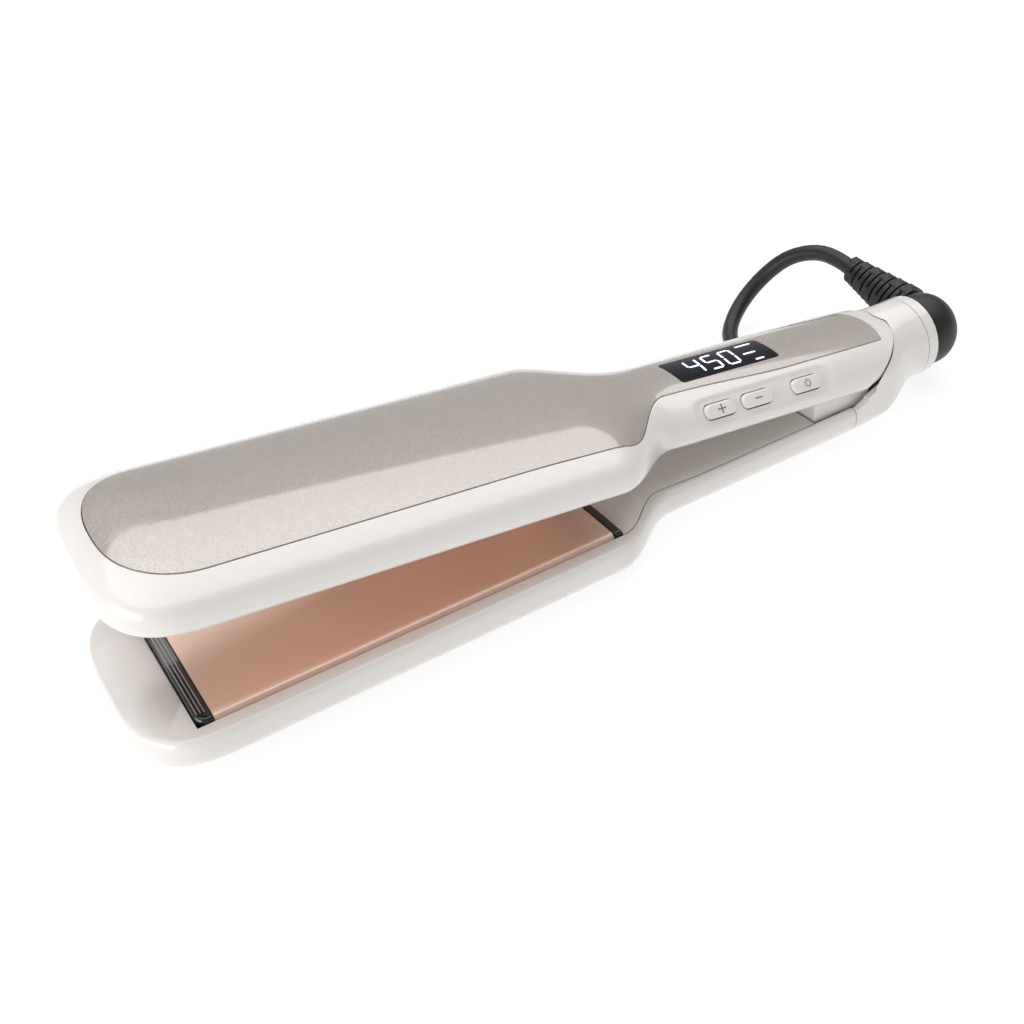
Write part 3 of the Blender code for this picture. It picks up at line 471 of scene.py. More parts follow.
def housing_row(c, side):
    """Half a section of the housing: outside from the seam down to the lip, then back along the inside."""
    seam, reach, face, nose = c["seam"] + SEAM_GAP / c["reach"], c["reach"], c["face"], c["nose"]
    start = math.acos(min(1.0, seam ** (c["power"] / 2)))
    row = [at(c, seam, height_at(c, seam) - EDGE_DROP),
           at(c, seam + 0.05 / reach, height_at(c, seam) - EDGE_ROUND)]
    for k in np.linspace(0.02, 0.97, 26):
        share = mix(math.cos(start * (1 - k)) ** (2 / c["power"]), mix(seam, 1, k), nose)
        row.append(at(c, share, height_at(c, share)))
    rim, foot = height_at(c, 1) - 0.4 * nose, mix(FOOT, NOSE_FOOT, nose)
    row += [at(c, 1 - foot * (1 - cos) / reach, mix(rim, face, sin)) for cos, sin in arc(0, 90, 8)]
    row += [at(c, c["opening"] + 0.3 / reach, face), at(c, c["opening"] + 0.08 / reach, face + 0.08),
            at(c, c["opening"], face + 0.3)]
    shelf = face + mix(LIP, NOSE_LIP, nose)
    middle = (seam + 1 - WALL / reach) / 2
    row += [at(c, c["opening"], shelf), at(c, 1 - (WALL + 0.3) / reach, shelf),
            at(c, 1 - WALL / reach, mix(c["widest"] + 0.5, mix(face, rim, 0.55), nose)),
            at(c, middle, height_at(c, middle, WALL)), at(c, seam, height_at(c, seam, WALL))]
    return [(x, y, side * z - c["drop"]) for x, y, z in row]


def cover_row(c, side):
    """Half a section of the cover: outside from the spine to the seam, then back along the inside."""
    edge, reach = c["seam"] - SEAM_GAP / c["reach"], c["reach"]
    row = [at(c, s, height_at(c, s)) for s in edge * np.sin(np.linspace(0, math.pi / 2, 24)[:-1])]
    row += [at(c, edge - 0.3 / reach, height_at(c, edge)),
            at(c, edge - 0.06 / reach, height_at(c, edge) - EDGE_ROUND),
            at(c, edge, height_at(c, edge) - EDGE_DROP)]
    row += [at(c, s, height_at(c, s, WALL)) for s in (edge, edge * 0.6, 0)]
    return [(x, y, side * z - c["drop"]) for x, y, z in row]


def mirrored(mesh):
    half = show("half", tidied(mesh, merge=COARSE))
    step = half.modifiers.new("mirror", "MIRROR")
    step.use_axis = (False, True, False)
    step.merge_threshold = COARSE
    return tidied(evaluated(half), merge=COARSE)


shells = {}
for arm, rows, side, stop in (("upper", upper_crossings, 1, False), ("lower", lower_crossings, -1, True)):
    outer = skin_of([housing_row(c, side) for c in rows], caps=(False, stop))
    lid = skin_of([cover_row(c, side) for c in rows], closed=False, caps=(False, stop))
    shells[arm + "_housing"], shells[arm + "_cover"] = mirrored(outer), mirrored(lid)
print({name: len(mesh.polygons) for name, mesh in shells.items()})

# %% [markdown]
# The buttons sit in one shallow dished channel on the near side of the handle. A channel with soft shoulders is
# pressed into the dense shell by moving its points inwards, which gives gentler edges than cutting would. The three
# holes for the buttons are real cuts, with the small gap that lets a button slide.

# %% Button channel and holes
BUTTONS = {"plus": 95.7, "minus": 108.4, "power": 126.0}
BUTTON_SIZE, BUTTON_HOLE, BUTTON_MIDDLE = (10.6, 4.0), (11.2, 4.6), (-15.75, 7.6)
CHANNEL_MIDDLE, CHANNEL_RUN, CHANNEL_RADIUS, CHANNEL_DEPTH = 111.8, 20.2, 3.9, 0.5
TILT = math.radians(90 - 41.7)
OUT = Vector((0, -math.sin(TILT), math.cos(TILT)))
ACROSS = OUT.cross(Vector((1, 0, 0)))


def button_place(x, lift_by=0.0):
    """Stands a drawing in plan on the tilted button face."""
    place = Vector((x, *BUTTON_MIDDLE)) + OUT * lift_by
    return Matrix(((1, ACROSS.x, OUT.x, place.x), (0, ACROSS.y, OUT.y, place.y), (0, ACROSS.z, OUT.z, place.z),
                   (0, 0, 0, 1)))


def pill(length, width):
    """The outline of a bar with round ends."""
    radius, run = width / 2, (length - width) / 2
    return [(centre + radius * cos, radius * sin) for centre, turn in ((run, -90), (-run, 90))
            for cos, sin in arc(turn, turn + 180, 15)]


def prism(outline, low, high, place=Matrix.Identity(4)):
    """The outline drawn up from low to high."""
    return tidied(placed(solid_of([[(x, y, z) for x, y in outline] for z in (low, high)]), place), 30)


to_channel = button_place(CHANNEL_MIDDLE).inverted()
for vertex in shells["upper_housing"].vertices:
    if vertex.co.y < -9 and 84 < vertex.co.x < 139:
        u, v, w = to_channel @ vertex.co
        if w > -1.2:
            off = math.hypot(max(0, abs(u) - CHANNEL_RUN), v) - CHANNEL_RADIUS
            vertex.co -= OUT * CHANNEL_DEPTH * (1 - ease(off, -0.75, 0.35))
holes = [prism(pill(*BUTTON_HOLE), -3, 3, button_place(x, -1.5)) for x in BUTTONS.values()]
shells["upper_housing"] = tidied(cut(shells["upper_housing"], holes), 32, COARSE)
print("holes:", len(holes))

# %% [markdown]
# White appliance plastic is glossy but not glassy: the gloss comes from the mould, with a faint unevenness. The
# champagne lid is metallic lacquer. Its flakes are tiny mirrors that each tilt a little, so the base has a fine
# cell pattern that changes the normal and the brightness, under a smooth clear coat that gives the sharp
# reflections. The copper plates are a satin coating with a faint brushed grain along their length.

# %% Finishes for shells, lids and plates
FLAKES_PER_METRE, FLAKE_TILT = 4200, 0.16
white = grain(finish("white gloss plastic", (0.78, 0.75, 0.722), 0.22, Specular_IOR_Level=0.5, Coat_Weight=0.5,
                     Coat_Roughness=0.08, Subsurface_Weight=0.08, Subsurface_Scale=0.002), 260, 0.05)
white = clouded(white, "Roughness", 40, 0.19, 0.27)
inner_white = grain(finish("satin white plastic", (0.78, 0.745, 0.715), 0.4, Coat_Weight=0.12), 500, 0.1)
inner_white = clouded(inner_white, "Roughness", 45, 0.38, 0.48)


def flakes(name, colour, light):
    """Metallic lacquer: small tilted flakes under a clear coat."""
    made = finish(name, colour, 0.42, 0.5, Coat_Weight=1.0, Coat_Roughness=0.03, Coat_IOR=1.9)
    tree = made.node_tree
    place = node(tree, "ShaderNodeTexCoord").outputs["Object"]
    cells = node(tree, "ShaderNodeTexVoronoi", {"Vector": place, "Scale": FLAKES_PER_METRE}).outputs["Color"]
    ramp = ramp_of(tree, node(tree, "ShaderNodeSeparateColor", {"Color": cells}), ((0.35, colour), (0.95, light)))
    centred = node(tree, "ShaderNodeVectorMath", {0: cells, 1: (0.5, 0.5, 0.5)}, operation="SUBTRACT")
    tilt = node(tree, "ShaderNodeVectorMath", {0: centred, "Scale": FLAKE_TILT}, operation="SCALE")
    surface = node(tree, "ShaderNodeNewGeometry").outputs["Normal"]
    tilted = node(tree, "ShaderNodeVectorMath", {0: surface, 1: tilt}, operation="ADD")
    unit = node(tree, "ShaderNodeVectorMath", {0: tilted}, operation="NORMALIZE")
    drive(made, "Base Color", ramp.outputs["Color"])
    return drive(made, "Normal", unit.outputs["Vector"])


champagne = flakes("champagne lacquer", (0.42, 0.37, 0.335), (0.56, 0.505, 0.465))
copper = grain(finish("satin copper coating", (0.88, 0.64, 0.52), 0.34, 0.5, Coat_Weight=0.1, Coat_Roughness=0.2),
               420, 0.06, stretch=(0.04, 1, 1))
copper = clouded(copper, "Roughness", 30, 0.31, 0.38)
black_gloss = grain(finish("gloss black plastic", (0.01, 0.01, 0.011), 0.16, Coat_Weight=0.6), 300, 0.04)
black_gloss = clouded(black_gloss, "Roughness", 80, 0.13, 0.2)
print("finishes:", [m.name for m in (white, inner_white, champagne, copper, black_gloss)])

# %% [markdown]
# The display window is one smoked, glossy strip let into the crest of the lid. Its outline is a rectangle with
# slightly rounded corners, and its surface follows the arch of the handle. The same outline, a touch larger, cuts
# the hole in the lid, so the gap round the window is even.

# %% Display window
DISPLAY_X, DISPLAY_HALF, DISPLAY_CORNER = (90.1, 124.2), 5.8, 1.2


def window_outline(inset):
    middle, run = sum(DISPLAY_X) / 2, (DISPLAY_X[1] - DISPLAY_X[0]) / 2
    x, y = run - inset - DISPLAY_CORNER, DISPLAY_HALF - inset - DISPLAY_CORNER
    return [(middle + sx * x + DISPLAY_CORNER * cos, sy * y + DISPLAY_CORNER * sin)
            for sx, sy, turn in ((1, 1, 0), (-1, 1, 90), (-1, -1, 180), (1, -1, 270))
            for cos, sin in arc(turn, turn + 90, 7)]


def crest_at(y):
    """The height of the handle's arch, at y from its middle."""
    arch = (1 - abs(y / HANDLE_WIDTH) ** HANDLE_POWER) ** (1 / HANDLE_POWER)
    return HANDLE_FLANK + (UPPER["handle"] - HANDLE_FLANK) * arch - DROP


slab = [[(x, y, crest_at(y) - d) for x, d in ((DISPLAY_X[0] - 2, 0.03), (DISPLAY_X[1] + 2, 0.03),
                                              (DISPLAY_X[1] + 2, 1.4), (DISPLAY_X[0] - 2, 1.4))]
        for y in np.linspace(-7, 7, 57)]
window_mesh = tidied(cut(tidied(solid_of(slab), 20), [prism(window_outline(0.2), 6, 16)],
                         "INTERSECT"), 25, COARSE)
shells["upper_cover"] = tidied(cut(shells["upper_cover"], [prism(window_outline(-0.1), 6, 16)]), 32, COARSE)
print("window faces:", len(window_mesh.polygons))

# %% [markdown]
# With every hole cut, the shells can be moved from the drawing to the frame and tied to their arms. Each stands for
# the plainer solid of the same name, which is then not shown.

# %% Shells in place
for name, mesh in shells.items():
    mesh.transform(to_upper if name.startswith("upper") else to_lower)
    is_cover = name.endswith("cover")
    piece(name + "_shell", mesh, champagne if is_cover else white, name.split("_")[0] + "_arm",
          [name])
window_mesh.transform(to_upper)
smoked = finish("smoked window", (0.006, 0.006, 0.010), 0.07, Coat_Weight=0.2, Coat_Roughness=0.03,
                Specular_IOR_Level=0.35)
smoked = clouded(smoked, "Roughness", 50, 0.06, 0.1)
piece("window_pane", window_mesh, smoked, "upper_arm", ["display_window"])
print("shells placed")

# %% [markdown]
# The digits glow through the window as a cool white light. Each one is made from the seven strokes of an ordinary
# numeric display, leaning a little, and three short bars beside them show the heat setting. Every stroke is a thin
# six-sided plate that lies on the window's arch, which is enough for a lit segment.

# %% Lit digits
STROKES = {"a": ((0, 1), (1, 1)), "b": ((1, 1), (1, 0.5)), "c": ((1, 0.5), (1, 0)), "d": ((0, 0), (1, 0)),
           "e": ((0, 0.5), (0, 0)), "f": ((0, 1), (0, 0.5)), "g": ((0, 0.5), (1, 0.5))}
NUMBER = (("bcfg", 96.5), ("acdfg", 102.6), ("abcdef", 108.7))
DIGIT_WIDTH, DIGIT_HEIGHT, LEAN, STROKE, STROKE_GAP = 3.8, 7.4, 0.9, 0.33, 0.14
HEAT_BARS = ((4.1, 115.7, 121.6), (-0.8, 114.8, 119.6), (-4.5, 116.3, 119.8))


def stroke(a, b):
    """A flat six-sided stroke from a to b, in the window's plan, pressed onto its arch."""
    a, b = Vector(a), Vector(b)
    along = (b - a).normalized()
    across = Vector((-along.y, along.x)) * STROKE
    a, b = a + along * STROKE_GAP, b - along * STROKE_GAP
    outline = [a, a + along * STROKE + across, b - along * STROKE + across, b, b - along * STROKE - across,
               a + along * STROKE - across]
    return [[(p.x, p.y, crest_at(p.y) + z) for p in outline] for z in (-0.02, 0.03)]


def joined(meshes):
    bm = bmesh.new()
    for mesh in meshes:
        bm.from_mesh(mesh)
    made = bpy.data.meshes.new("joined")
    bm.to_mesh(made)
    bm.free()
    return made


strokes = []
for letters, x in NUMBER:
    for letter in letters:
        ends = [(x + u * DIGIT_WIDTH + (v - 0.5) * LEAN, (v - 0.5) * DIGIT_HEIGHT) for u, v in STROKES[letter]]
        strokes.append(solid_of(stroke(*ends)))
strokes += [solid_of(stroke((low, y), (high, y))) for y, low, high in HEAT_BARS]
digits = placed(tidied(joined(strokes), 20), to_upper)
glow = finish("lit segments", (0.75, 0.8, 1.0), 0.3, Emission_Color=(0.78, 0.84, 1.0, 1), Emission_Strength=1.0)
glow = clouded(glow, "Base Color", 400, (0.7, 0.76, 1.0), (0.8, 0.86, 1.0))
piece("display_digits", digits, glow, "upper_arm")
print("strokes:", len(strokes))

# %% [markdown]
# Each button is a small domed bar with round ends. It is built from rings that step in towards the top, so its edge
# is truly rounded and catches a thin line of light. The printed sign on it is a grey mark barely thicker than ink:
# a cross for more, a bar for less, and an open ring with a stroke for the power.

# %% Buttons and their signs
CAP = ((0.25, -2.3), (0.0, -2.1), (0.0, -0.1), (0.06, 0.14), (0.22, 0.32), (0.5, 0.44), (0.95, 0.5), (1.5, 0.52))
INK = (0.5, 0.56)
grey_ink = clouded(finish("grey print", (0.13, 0.11, 0.1), 0.45), "Base Color", 900, (0.11, 0.09, 0.08),
                   (0.16, 0.14, 0.13))


def bar(half_x, half_y, x=0.0, y=0.0):
    return prism([(x - half_x, y - half_y), (x + half_x, y - half_y), (x + half_x, y + half_y),
                  (x - half_x, y + half_y)], *INK)


def open_ring(radius, thick, gap):
    """A ring that is open at the top, for the stroke."""
    edge = ((radius - thick, INK[0]), (radius, INK[0]), (radius, INK[1]), (radius - thick, INK[1]))
    return solid_of([[(r * cos, r * sin, z) for r, z in edge] for cos, sin in arc(90 + gap, 450 - gap, 29)])


cross = [(0.18, 1.3), (0.18, 0.18), (1.3, 0.18)]
for quarter in range(3):
    cross += [(y, -x) for x, y in cross[-3:]]
signs = {"plus": prism(cross[::-1], *INK), "minus": bar(1.15, 0.18),
         "power": joined([open_ring(1.05, 0.24, 35), bar(0.12, 0.5, 0, 0.85)])}
for name, x in BUTTONS.items():
    place = to_upper @ button_place(x)
    cap = solid_of([[(u, v, height) for u, v in pill(*(size - 2 * inset for size in BUTTON_SIZE))]
                    for inset, height in CAP])
    piece(f"{name}_cap", placed(tidied(cap, 50), place), white, f"{name}_button", [f"button_{name}"])
    piece(f"{name}_sign", placed(tidied(signs[name], 30), place), grey_ink, f"{name}_button")
print("buttons:", list(BUTTONS))

# %% [markdown]
# The yoke is the white bridge at the rear of the lower arm. It starts with the handle's full section and turns into
# the round barrel, and the rear end of the upper arm rocks inside it. It is a skin over sections that change slowly
# from one shape to the other; the space for the rocking arm is then cut away in its open and its closed position. A
# last small cut slopes the front of its side walls down to the strap.

# %% Yoke
BARREL_RADIUS, BARREL_HEIGHT, BARREL_REAR = 12.32, 1.62, 178.9
BLEND_FROM, BLEND_TO = 157, 176


def yoke_row(x, inset=0.0, count=24):
    """A full section of the yoke, between the handle's form and the barrel's circle."""
    share, under = ease(x, BLEND_FROM, BLEND_TO), ease(x, SPLIT, BLEND_TO)
    width, power = mix(HANDLE_WIDTH, BARREL_RADIUS, share) - inset, mix(HANDLE_POWER, 2.0, share)
    flank, centre = mix(HANDLE_FLANK, 0, share), mix(-DROP, BARREL_HEIGHT, share)
    row = []
    for sign, crest, blend in ((1, UPPER["handle"], share), (-1, LOWER["handle"], under)):
        rise = mix(crest, BARREL_RADIUS, blend) - inset
        shift = mix(-DROP, BARREL_HEIGHT, blend) - centre
        for k in range(count + 1):
            angle = math.pi * (k if sign > 0 else count - k) / count
            cos, sin = math.cos(angle), max(0.0, math.sin(angle))
            arch = sin ** (2 / power)
            z = centre + sign * (flank + (rise - flank) * arch) + shift * arch
            row.append((x, squared(cos, power) * width, max(z, -BELLY + inset)))
    return row


def rocking_space(gap=0.3):
    """The upper arm's rear end, a little larger all round."""
    low, rows = FACE - gap - DROP, []
    front = [crossing(x, (x, HANDLE_WIDTH), 1, 1, UPPER, 1) for x in (138, 144)]
    for c in front + [c for c in upper_crossings if c["extruded"]]:
        grow = 1 + gap / c["reach"]
        row = []
        for share in np.sin(np.linspace(0, math.pi / 2, 17)) ** (2 / c["power"]):
            row.append(at(c, share * grow, height_at(c, share) + gap - c["drop"]))
        x, y, z = at(c, grow, c["face"] - gap - c["drop"])
        row += [(x, y, min(z, row[-1][2] - 0.5)), (c["spine"], 0, low)]
        rows.append(row)
    return mirrored(skin_of(rows, closed=False, caps=(True, False)))


stations = [SPLIT + 0.3, *np.arange(147, 178, 1.0), BARREL_REAR]
inner_stations = [SPLIT - 2, *stations[1:-1], BARREL_REAR + 2.1]
yoke = tidied(solid_of([yoke_row(x) for x in stations]), 40, COARSE)
bore = tidied(solid_of([yoke_row(x, 2.0) for x in inner_stations]), 40, COARSE)
space_open, space_closed = placed(rocking_space(), lift), rocking_space()
upright = Matrix(((1, 0, 0, 0), (0, 0, 1, 0), (0, 1, 0, 0), (0, 0, 0, 1)))
ramp = prism([(144, -2.5), (146.2, -2.5), (149.8, -0.9), (149.8, 2), (144, 2)], -20, 20, upright)
yoke = placed(tidied(cut(yoke, [bore, space_open, space_closed, ramp]), 35, COARSE), to_lower)
piece("yoke", yoke, white, "lower_arm", ["yoke_barrel"])
print("yoke faces:", len(yoke.polygons))

# %% [markdown]
# The heating plates are coated metal channels with softly rounded long edges, which is what stops hair from
# creasing. Drawing the section once and stretching it along the plate gives that edge. The black end pieces are
# made the same way, with round outer corners on the front one.

# %% Heating plates and end pieces
PLATE_WIDTH, PLATE_FACE, PLATE_DEPTH, PLATE_EDGE, PLATE_SHEET = 25.5, 0.12, 4.4, 2.2, 1.8
PLATE_X, FRONT_X, REAR_X = (-54.4, 55), (-58.4, -54.7), (55.3, 57.5)
CORNER, ARRIS = 2.6, 1.4


def both_sides(side):
    return side + [(-y, z) for y, z in reversed(side)]


def round_edge(half, radius, start, count):
    """The edge from the side wall, at half, round to the face."""
    return [(half - radius * (1 - cos), PLATE_FACE + radius * (1 - sin)) for cos, sin in arc(start, 90, count)]


def channel():
    """The plate's section: a face with round edges and a turned-down wall on each side."""
    inner = PLATE_WIDTH - PLATE_SHEET
    side = [(inner, PLATE_FACE + PLATE_SHEET), (inner, PLATE_DEPTH), (PLATE_WIDTH, PLATE_DEPTH)]
    return both_sides(side + round_edge(PLATE_WIDTH, PLATE_EDGE, 0, 11))


def drawn(profile, low, high, round_by):
    """The profile drawn along X, its two end faces slightly rounded."""
    places = ((low, round_by), (low + round_by, 0), (high - round_by, 0), (high, round_by))
    return solid_of([[(x, y, z + rise * (z < 0.2)) for y, z in profile] for x, rise in places])


def end_profile(inset=0.0):
    half = PLATE_WIDTH - inset
    return both_sides([(half, PLATE_DEPTH), (half, 1.6), *round_edge(half, ARRIS, math.degrees(0.2), 7)])


def end_piece(low, high, corner):
    """An end piece whose outer corners are round in plan; the outer end is at low."""
    places = [(low + corner * (1 - sin), corner * (1 - cos)) for cos, sin in arc(90, 0, 7)] + [(high, 0)]
    return solid_of([[(x, y, z) for y, z in end_profile(inset)] for x, inset in places])


PLATE_PLACES = {"upper": to_upper, "lower": to_lower @ Matrix.Diagonal((1, 1, -1, 1))}
for arm, place in PLATE_PLACES.items():
    for name, mesh, look_of, slot_name in (
        ("heating_plate", drawn(channel(), *PLATE_X, 0.15), copper, "copper"),
        ("front_trim", end_piece(*FRONT_X, CORNER), black_gloss, "black"),
        ("rear_trim", drawn(end_profile(), *REAR_X, 0.2), black_gloss, "black"),
    ):
        mesh = tidied(placed(mesh, place), 30)
        piece(f"{arm}_{name}_face", mesh, look_of, f"{arm}_plate", [f"{arm}_{name}"])
print("plates made")

# %% [markdown]
# Three fine bright ridges run across each front end piece. Geometry Nodes lay them: a row of points, and one slim
# bar on each. The result is turned into a plain mesh before it becomes a piece.

# %% Ridges by Geometry Nodes
def tree_of(name, **inputs):
    """An empty tree with named inputs, and the outputs of its input node."""
    tree = bpy.data.node_groups.new(name, "GeometryNodeTree")
    tree.interface.new_socket("Geometry", in_out="OUTPUT", socket_type="NodeSocketGeometry")
    for label, kind in {**inputs, "Finish": "Material"}.items():
        tree.interface.new_socket(label.replace("_", " "), in_out="INPUT", socket_type="NodeSocket" + kind)
    return tree, node(tree, "NodeGroupInput").outputs


def closed_with(tree, geometry, ends):
    """Ends a tree: instances made real, and the finish set."""
    real = node(tree, "GeometryNodeRealizeInstances", {"Geometry": geometry})
    paint = node(tree, "GeometryNodeSetMaterial", {"Geometry": real, "Material": ends["Finish"]})
    node(tree, "NodeGroupOutput", {"Geometry": paint})
    return tree


def ridge_tree():
    tree, ends = tree_of("ridges in a row", Count="Int", Pitch="Float", Length="Float", Width="Float")
    step = node(tree, "ShaderNodeCombineXYZ", {"X": ends["Pitch"]})
    row = node(tree, "GeometryNodeMeshLine", {"Count": ends["Count"], "Offset": step})
    sizes = {"Vertices": 8, "Depth": ends["Length"], "Radius": ends["Width"]}
    slim_bar = node(tree, "GeometryNodeMeshCylinder", sizes)
    turned_bar = node(tree, "GeometryNodeTransform", {"Geometry": slim_bar, "Rotation": (math.pi / 2, 0, 0)})
    spread = node(tree, "GeometryNodeInstanceOnPoints", {"Points": row, "Instance": turned_bar})
    return closed_with(tree, spread, ends)


def grown_by(tree, values):
    """Runs the tree once with the given inputs and returns its result as a plain mesh."""
    holder = show("growing", bpy.data.meshes.new("empty"))
    step = holder.modifiers.new("grow", "NODES")
    step.node_group = tree
    for socket in tree.interface.items_tree:
        if socket.in_out == "INPUT" and socket.name in values:
            step[socket.identifier] = values[socket.name]
    return evaluated(holder)


silver = grain(finish("silvery line", (0.5, 0.48, 0.47), 0.25, 0.9), 600, 0.1)
ridges = ridge_tree()
for arm, place in PLATE_PLACES.items():
    lines = grown_by(ridges, {"Count": 3, "Pitch": 0.9, "Length": 46.0, "Width": 0.17, "Finish": silver})
    lines = tidied(placed(lines, place @ Matrix.Translation((-57.5, 0, PLATE_FACE))), 60)
    piece(f"{arm}_trim_lines", lines, silver, f"{arm}_plate")
print("trim lines made")

# %% [markdown]
# The rubber elbow turns in the barrel's collar. Its round cap is a turned shape, and its sleeve is a strain relief:
# a tapering core with rings round it, and short bridges between the rings that stand at alternating sides, so that
# the slots between them let the sleeve bend. Rings and bridges repeat by a rule, which is what Geometry Nodes do
# best. The same tree, with other numbers, also makes the relief at the plug.

# %% Elbow sleeve tree
FILLET = {"Count": 2, "Radius": 0.07}


def join_of(tree, *parts):
    join = node(tree, "GeometryNodeJoinGeometry")
    for part in parts:
        tree.links.new(part.outputs[0], join.inputs["Geometry"])
    return join


def sleeve_tree():
    """Rings and bridges of radius one, scaled by a taper from the first ring to the last."""
    tree, ends = tree_of("slotted sleeve", Rings="Int", Pitch="Float", Radius_at_start="Float",
                         Radius_at_end="Float", Ring_height="Float")
    step = node(tree, "ShaderNodeCombineXYZ", {"Z": ends["Pitch"]})
    row = node(tree, "GeometryNodeMeshLine", {"Count": ends["Rings"], "Offset": step})
    index = node(tree, "GeometryNodeInputIndex")
    last = node(tree, "ShaderNodeMath", {0: ends["Rings"], 1: 1}, operation="SUBTRACT")
    share = node(tree, "ShaderNodeMath", {0: index, 1: last}, operation="DIVIDE")
    radii = {"Factor": share, "A": ends["Radius at start"], "B": ends["Radius at end"]}
    taper = node(tree, "ShaderNodeMix", radii, data_type="FLOAT")
    size = node(tree, "ShaderNodeCombineXYZ", {"X": taper, "Y": taper, "Z": 1})

    circle = node(tree, "GeometryNodeCurvePrimitiveCircle", {"Resolution": 40, "Radius": 0.88})
    profile = node(tree, "GeometryNodeCurvePrimitiveQuadrilateral", {"Width": 0.24, "Height": ends["Ring height"]})
    soften = node(tree, "GeometryNodeFilletCurve", {"Curve": profile}, mode="POLY")
    for socket in soften.inputs:
        if socket.name in FILLET:
            socket.default_value = FILLET[socket.name]
    ring = node(tree, "GeometryNodeCurveToMesh", {"Curve": circle, "Profile Curve": soften})
    rings = node(tree, "GeometryNodeInstanceOnPoints", {"Points": row, "Instance": ring, "Scale": size})

    block_size = node(tree, "ShaderNodeCombineXYZ", {"X": 0.22, "Y": 0.7, "Z": ends["Pitch"]})
    block = node(tree, "GeometryNodeMeshCube", {"Size": block_size})
    pair = join_of(tree, *(node(tree, "GeometryNodeTransform", {"Geometry": block, "Translation": (x, 0, 0)})
                           for x in (0.86, -0.86)))
    half_pitch = node(tree, "ShaderNodeVectorMath", {0: step, "Scale": 0.5}, operation="SCALE")
    between = node(tree, "GeometryNodeTransform", {"Geometry": row, "Translation": half_pitch})
    quarter = node(tree, "ShaderNodeMath", {0: index, 1: math.pi / 2}, operation="MULTIPLY")
    turn = node(tree, "ShaderNodeCombineXYZ", {"Z": quarter})
    bridges = node(tree, "GeometryNodeInstanceOnPoints",
                   {"Points": between, "Instance": pair, "Rotation": turn, "Scale": size})
    return closed_with(tree, join_of(tree, rings, bridges), ends)


sleeves = sleeve_tree()
print("sleeve tree:", len(sleeves.nodes), "nodes")

# %% [markdown]
# The elbow is a turned cap with a tapering core that leaves it sideways. The sleeve's rings stand on the core's line.

# %% Elbow
def turned(profile):
    rows = [[(x, r * cos, r * sin) for x, r in profile] for cos, sin in arc(0, 360, 49)[:-1]]
    return skin_of(rows, closed=False, ring=True)


def aimed(start, end):
    """A matrix that stands a piece's Z on the line from start to end."""
    axis = (Vector(end) - Vector(start)).normalized()
    side = axis.cross(Vector((1, 0, 0))).normalized()
    top = axis.cross(side)
    turn = Matrix((side, top, axis)).transposed().to_4x4()
    return Matrix.Translation(start) @ turn


cap_profile = [(183.5, 0), (183.5, 10.5), (183.7, 10.9), (184.2, 11.15), (188.0, 11.2)]
cap_profile += [(188.4 + 9.6 * sin, 11.2 * cos) for cos, sin in arc(math.degrees(0.05), 90, 16)]
cap_profile[-1] = (198.0, 0)
elbow = placed(turned(cap_profile), Matrix.Translation((0, 0, BARREL_HEIGHT)))
boot_start, boot_end = (191.5, 0, BARREL_HEIGHT), (190.0, 32.3, 9.05)
CORE = ((0.0, 6.6), (11.0, 6.3), (17, 5.0), (25, 3.9), (32.4, 3.2), (33.1, 3.0))
core = solid_of([[(r * cos, r * sin, z) for cos, sin in arc(0, 360, 33)[:-1]] for z, r in CORE])
elbow = placed(joined([elbow, placed(core, aimed(boot_start, boot_end))]), to_lower)
elbow_cap = piece("elbow_cap", tidied(elbow, 40), rubber, "cord_swivel", ["cord_boot"])
sleeve = grown_by(sleeves, {"Rings": 11, "Pitch": 2.2, "Radius at start": 7.4, "Radius at end": 4.2,
                            "Ring height": 1.5, "Finish": rubber})
sleeve.transform(to_lower @ aimed(boot_start, boot_end) @ Matrix.Translation((0, 0, 10.2)))
elbow_sleeve = piece("elbow_sleeve", tidied(sleeve, 35), rubber, "cord_swivel")
print("sleeve faces:", len(sleeve.polygons))

# %% [markdown]
# The two-pin plug is a moulded block, wide and flat, with the same slotted relief where the cord enters it. Its two
# blades have rounded leading corners, which is how they find the socket. The pieces that hang on the cord are
# gathered in one list.

# %% Plug
PLUG_Y, PLUG_Z = 33.0, -8.7
PLUG_SECTIONS = ((82.0, 3.2, 3.2, 2.0), (92.5, 3.6, 3.6, 2.0), (93.7, 4.4, 4.4, 2.0), (95.0, 6.8, 5.0, 2.5),
                 (96.7, 8.5, 5.4, 3.0), (98.4, 9.3, 5.75, 3.5), (100.7, 9.6, 5.9, 4.0), (116.8, 9.6, 5.9, 4.0),
                 (117.7, 9.45, 5.75, 4.0), (118.4, 9.1, 5.4, 4.0), (118.7, 8.6, 5.0, 4.0))
BLADE = ((119.0, -11.85), (134.6, -11.85), (135.4, -11.5), (135.7, -10.8), (135.7, -6.6), (135.4, -5.9),
         (134.6, -5.55), (119.0, -5.55))
rows = [[(x, PLUG_Y + squared(cos, power) * half_y, PLUG_Z + squared(sin, power) * half_z)
         for cos, sin in arc(0, 360, 49)[:-1]] for x, half_y, half_z, power in PLUG_SECTIONS]
plug_mesh = placed(solid_of(rows), to_lower)
on_cord = [piece("plug_shell", tidied(plug_mesh, 35), rubber, "lower_arm", ["plug_body"])]
relief = grown_by(sleeves, {"Rings": 5, "Pitch": 2.2, "Radius at start": 3.9, "Radius at end": 4.9,
                            "Ring height": 1.4, "Finish": rubber})
relief.transform(to_lower @ Matrix.Translation((83.2, PLUG_Y, PLUG_Z)) @ Matrix.Rotation(math.pi / 2, 4, "Y"))
on_cord.append(piece("plug_relief", tidied(relief, 35), rubber, "lower_arm"))
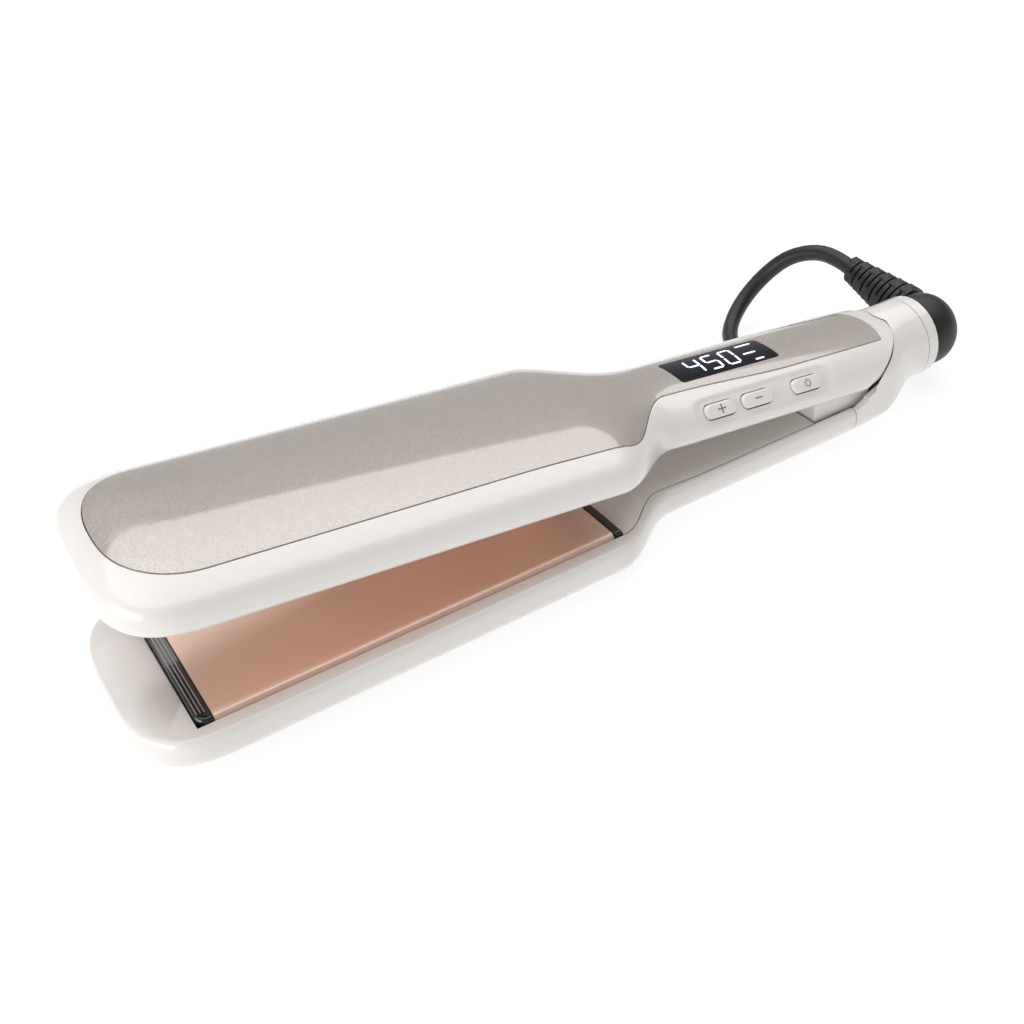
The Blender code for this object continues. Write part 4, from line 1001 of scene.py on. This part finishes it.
brass = grain(finish("brass", (0.78, 0.58, 0.28), 0.28, 1.0), 200, 0.08)
for name, shift in (("near", -6.35), ("far", 6.35)):
    blade = placed(prism(BLADE, PLUG_Y + shift - 0.75, PLUG_Y + shift + 0.75, upright), to_lower)
    on_cord.append(piece(f"blade_{name}", blade, brass, "lower_arm", [f"plug_blade_{name}"]))
print("pieces on the cord:", len(on_cord) + 3)

# %% [markdown]
# The pieces that keep their frame shape still need finishes: steel for the springs, pin and clamps, brass for the
# contact disc, fired ceramic for the heaters and sensors, and a green lacquered board. Each one gets the fine grain
# or the slight change of colour that such a surface has.

# %% Finishes for the frame's own nodes
steel = grain(finish("brushed steel", (0.55, 0.55, 0.57), 0.3, 1.0, Anisotropic=0.4), 300, 0.1, stretch=(0.1, 1, 1))
ceramic = clouded(finish("fired ceramic", (0.75, 0.75, 0.72), 0.55), "Base Color", 120, (0.7, 0.7, 0.67),
                  (0.8, 0.8, 0.77))
board = clouded(finish("board lacquer", (0.04, 0.2, 0.09), 0.3), "Base Color", 300, (0.03, 0.16, 0.07),
                (0.06, 0.26, 0.11))
dull_black = grain(finish("dull black plastic", (0.02, 0.02, 0.021), 0.5), 500, 0.2)
BY_SLOT = {"white": inner_white, "champagne": champagne, "copper": copper, "black": dull_black, "window": smoked,
           "steel": steel, "brass": brass, "ceramic": ceramic, "board": board, "rubber": rubber}
slot_of = {entry["node"]: entry["material_slot"] for entry in frame["record"]["subparts"]}
for name, obj in frame["nodes"].items():
    chosen = white if name == "barrel_collar" else BY_SLOT[slot_of[name]]
    obj.data.materials.clear()
    obj.data.materials.append(chosen)
print("nodes with a finish:", len(frame["nodes"]))

# %% [markdown]
# The room is a plain photographic studio. The floor is a pale sweep that glows a little by itself, like a light
# table, so it stays white and takes only a breath of shadow. The light is a broad soft box overhead with a clear
# edge, in a greyer room: that edge is what draws the crisp line along the lid where the reflection changes. One
# lower lamp in front of the tip reaches in between the arms and lights the plate.

# %% Studio
SOFT_BOX_AIM = (0.122, 0.229, 0.966)
SOFT_BOX_EDGE = math.cos(math.radians(42.5))
SOFT_BOX_LEVEL = 1.9
ROOM = ((0.0, 0.5), (0.2, 0.42), (0.5, 0.24), (1.0, 0.24))
FLOOR_HALF = 4

corners = [(x * FLOOR_HALF, y * FLOOR_HALF, 0) for x, y in ((-1, -1), (1, -1), (1, 1), (-1, 1))]
floor_mesh = bpy.data.meshes.new("floor")
floor_mesh.from_pydata(corners, [], [(0, 1, 2, 3)])
floor_mesh.materials.append(finish("white sweep", (0.2, 0.2, 0.2), 0.9, Emission_Color=(1, 1, 1, 1),
                                   Emission_Strength=0.84))
floor = show("floor", floor_mesh)

world = bpy.data.worlds.new("studio")
bpy.context.scene.world = world
world.use_nodes = True
sky = world.node_tree
direction = node(sky, "ShaderNodeTexCoord").outputs["Generated"]
toward = node(sky, "ShaderNodeVectorMath", {0: direction, 1: SOFT_BOX_AIM}, operation="DOT_PRODUCT")
height = node(sky, "ShaderNodeSeparateXYZ", {"Vector": direction}).outputs["Z"]
room = ramp_of(sky, height, ROOM)
box = ramp_of(sky, toward.outputs["Value"], ((SOFT_BOX_EDGE, 0.0), (SOFT_BOX_EDGE + 0.015, 1.0)))
both = node(sky, "ShaderNodeMix", {0: box, 6: room, 7: (*[SOFT_BOX_LEVEL] * 3, 1)}, data_type="RGBA")
sky.links.new(both.outputs[2], sky.nodes["Background"].inputs["Color"])
bpy.context.scene.view_settings.view_transform = "Standard"

key = bpy.data.objects.new("tip light", bpy.data.lights.new("tip light", "AREA"))
bpy.context.scene.collection.objects.link(key)
key.data.shape, key.data.size, key.data.size_y = "RECTANGLE", 0.9, 0.6
key.data.energy = 6
key.location = (-1.0, -0.2, 0.32)
key.rotation_euler = (-key.location).to_track_quat("-Z", "Y").to_euler()
print("studio ready")
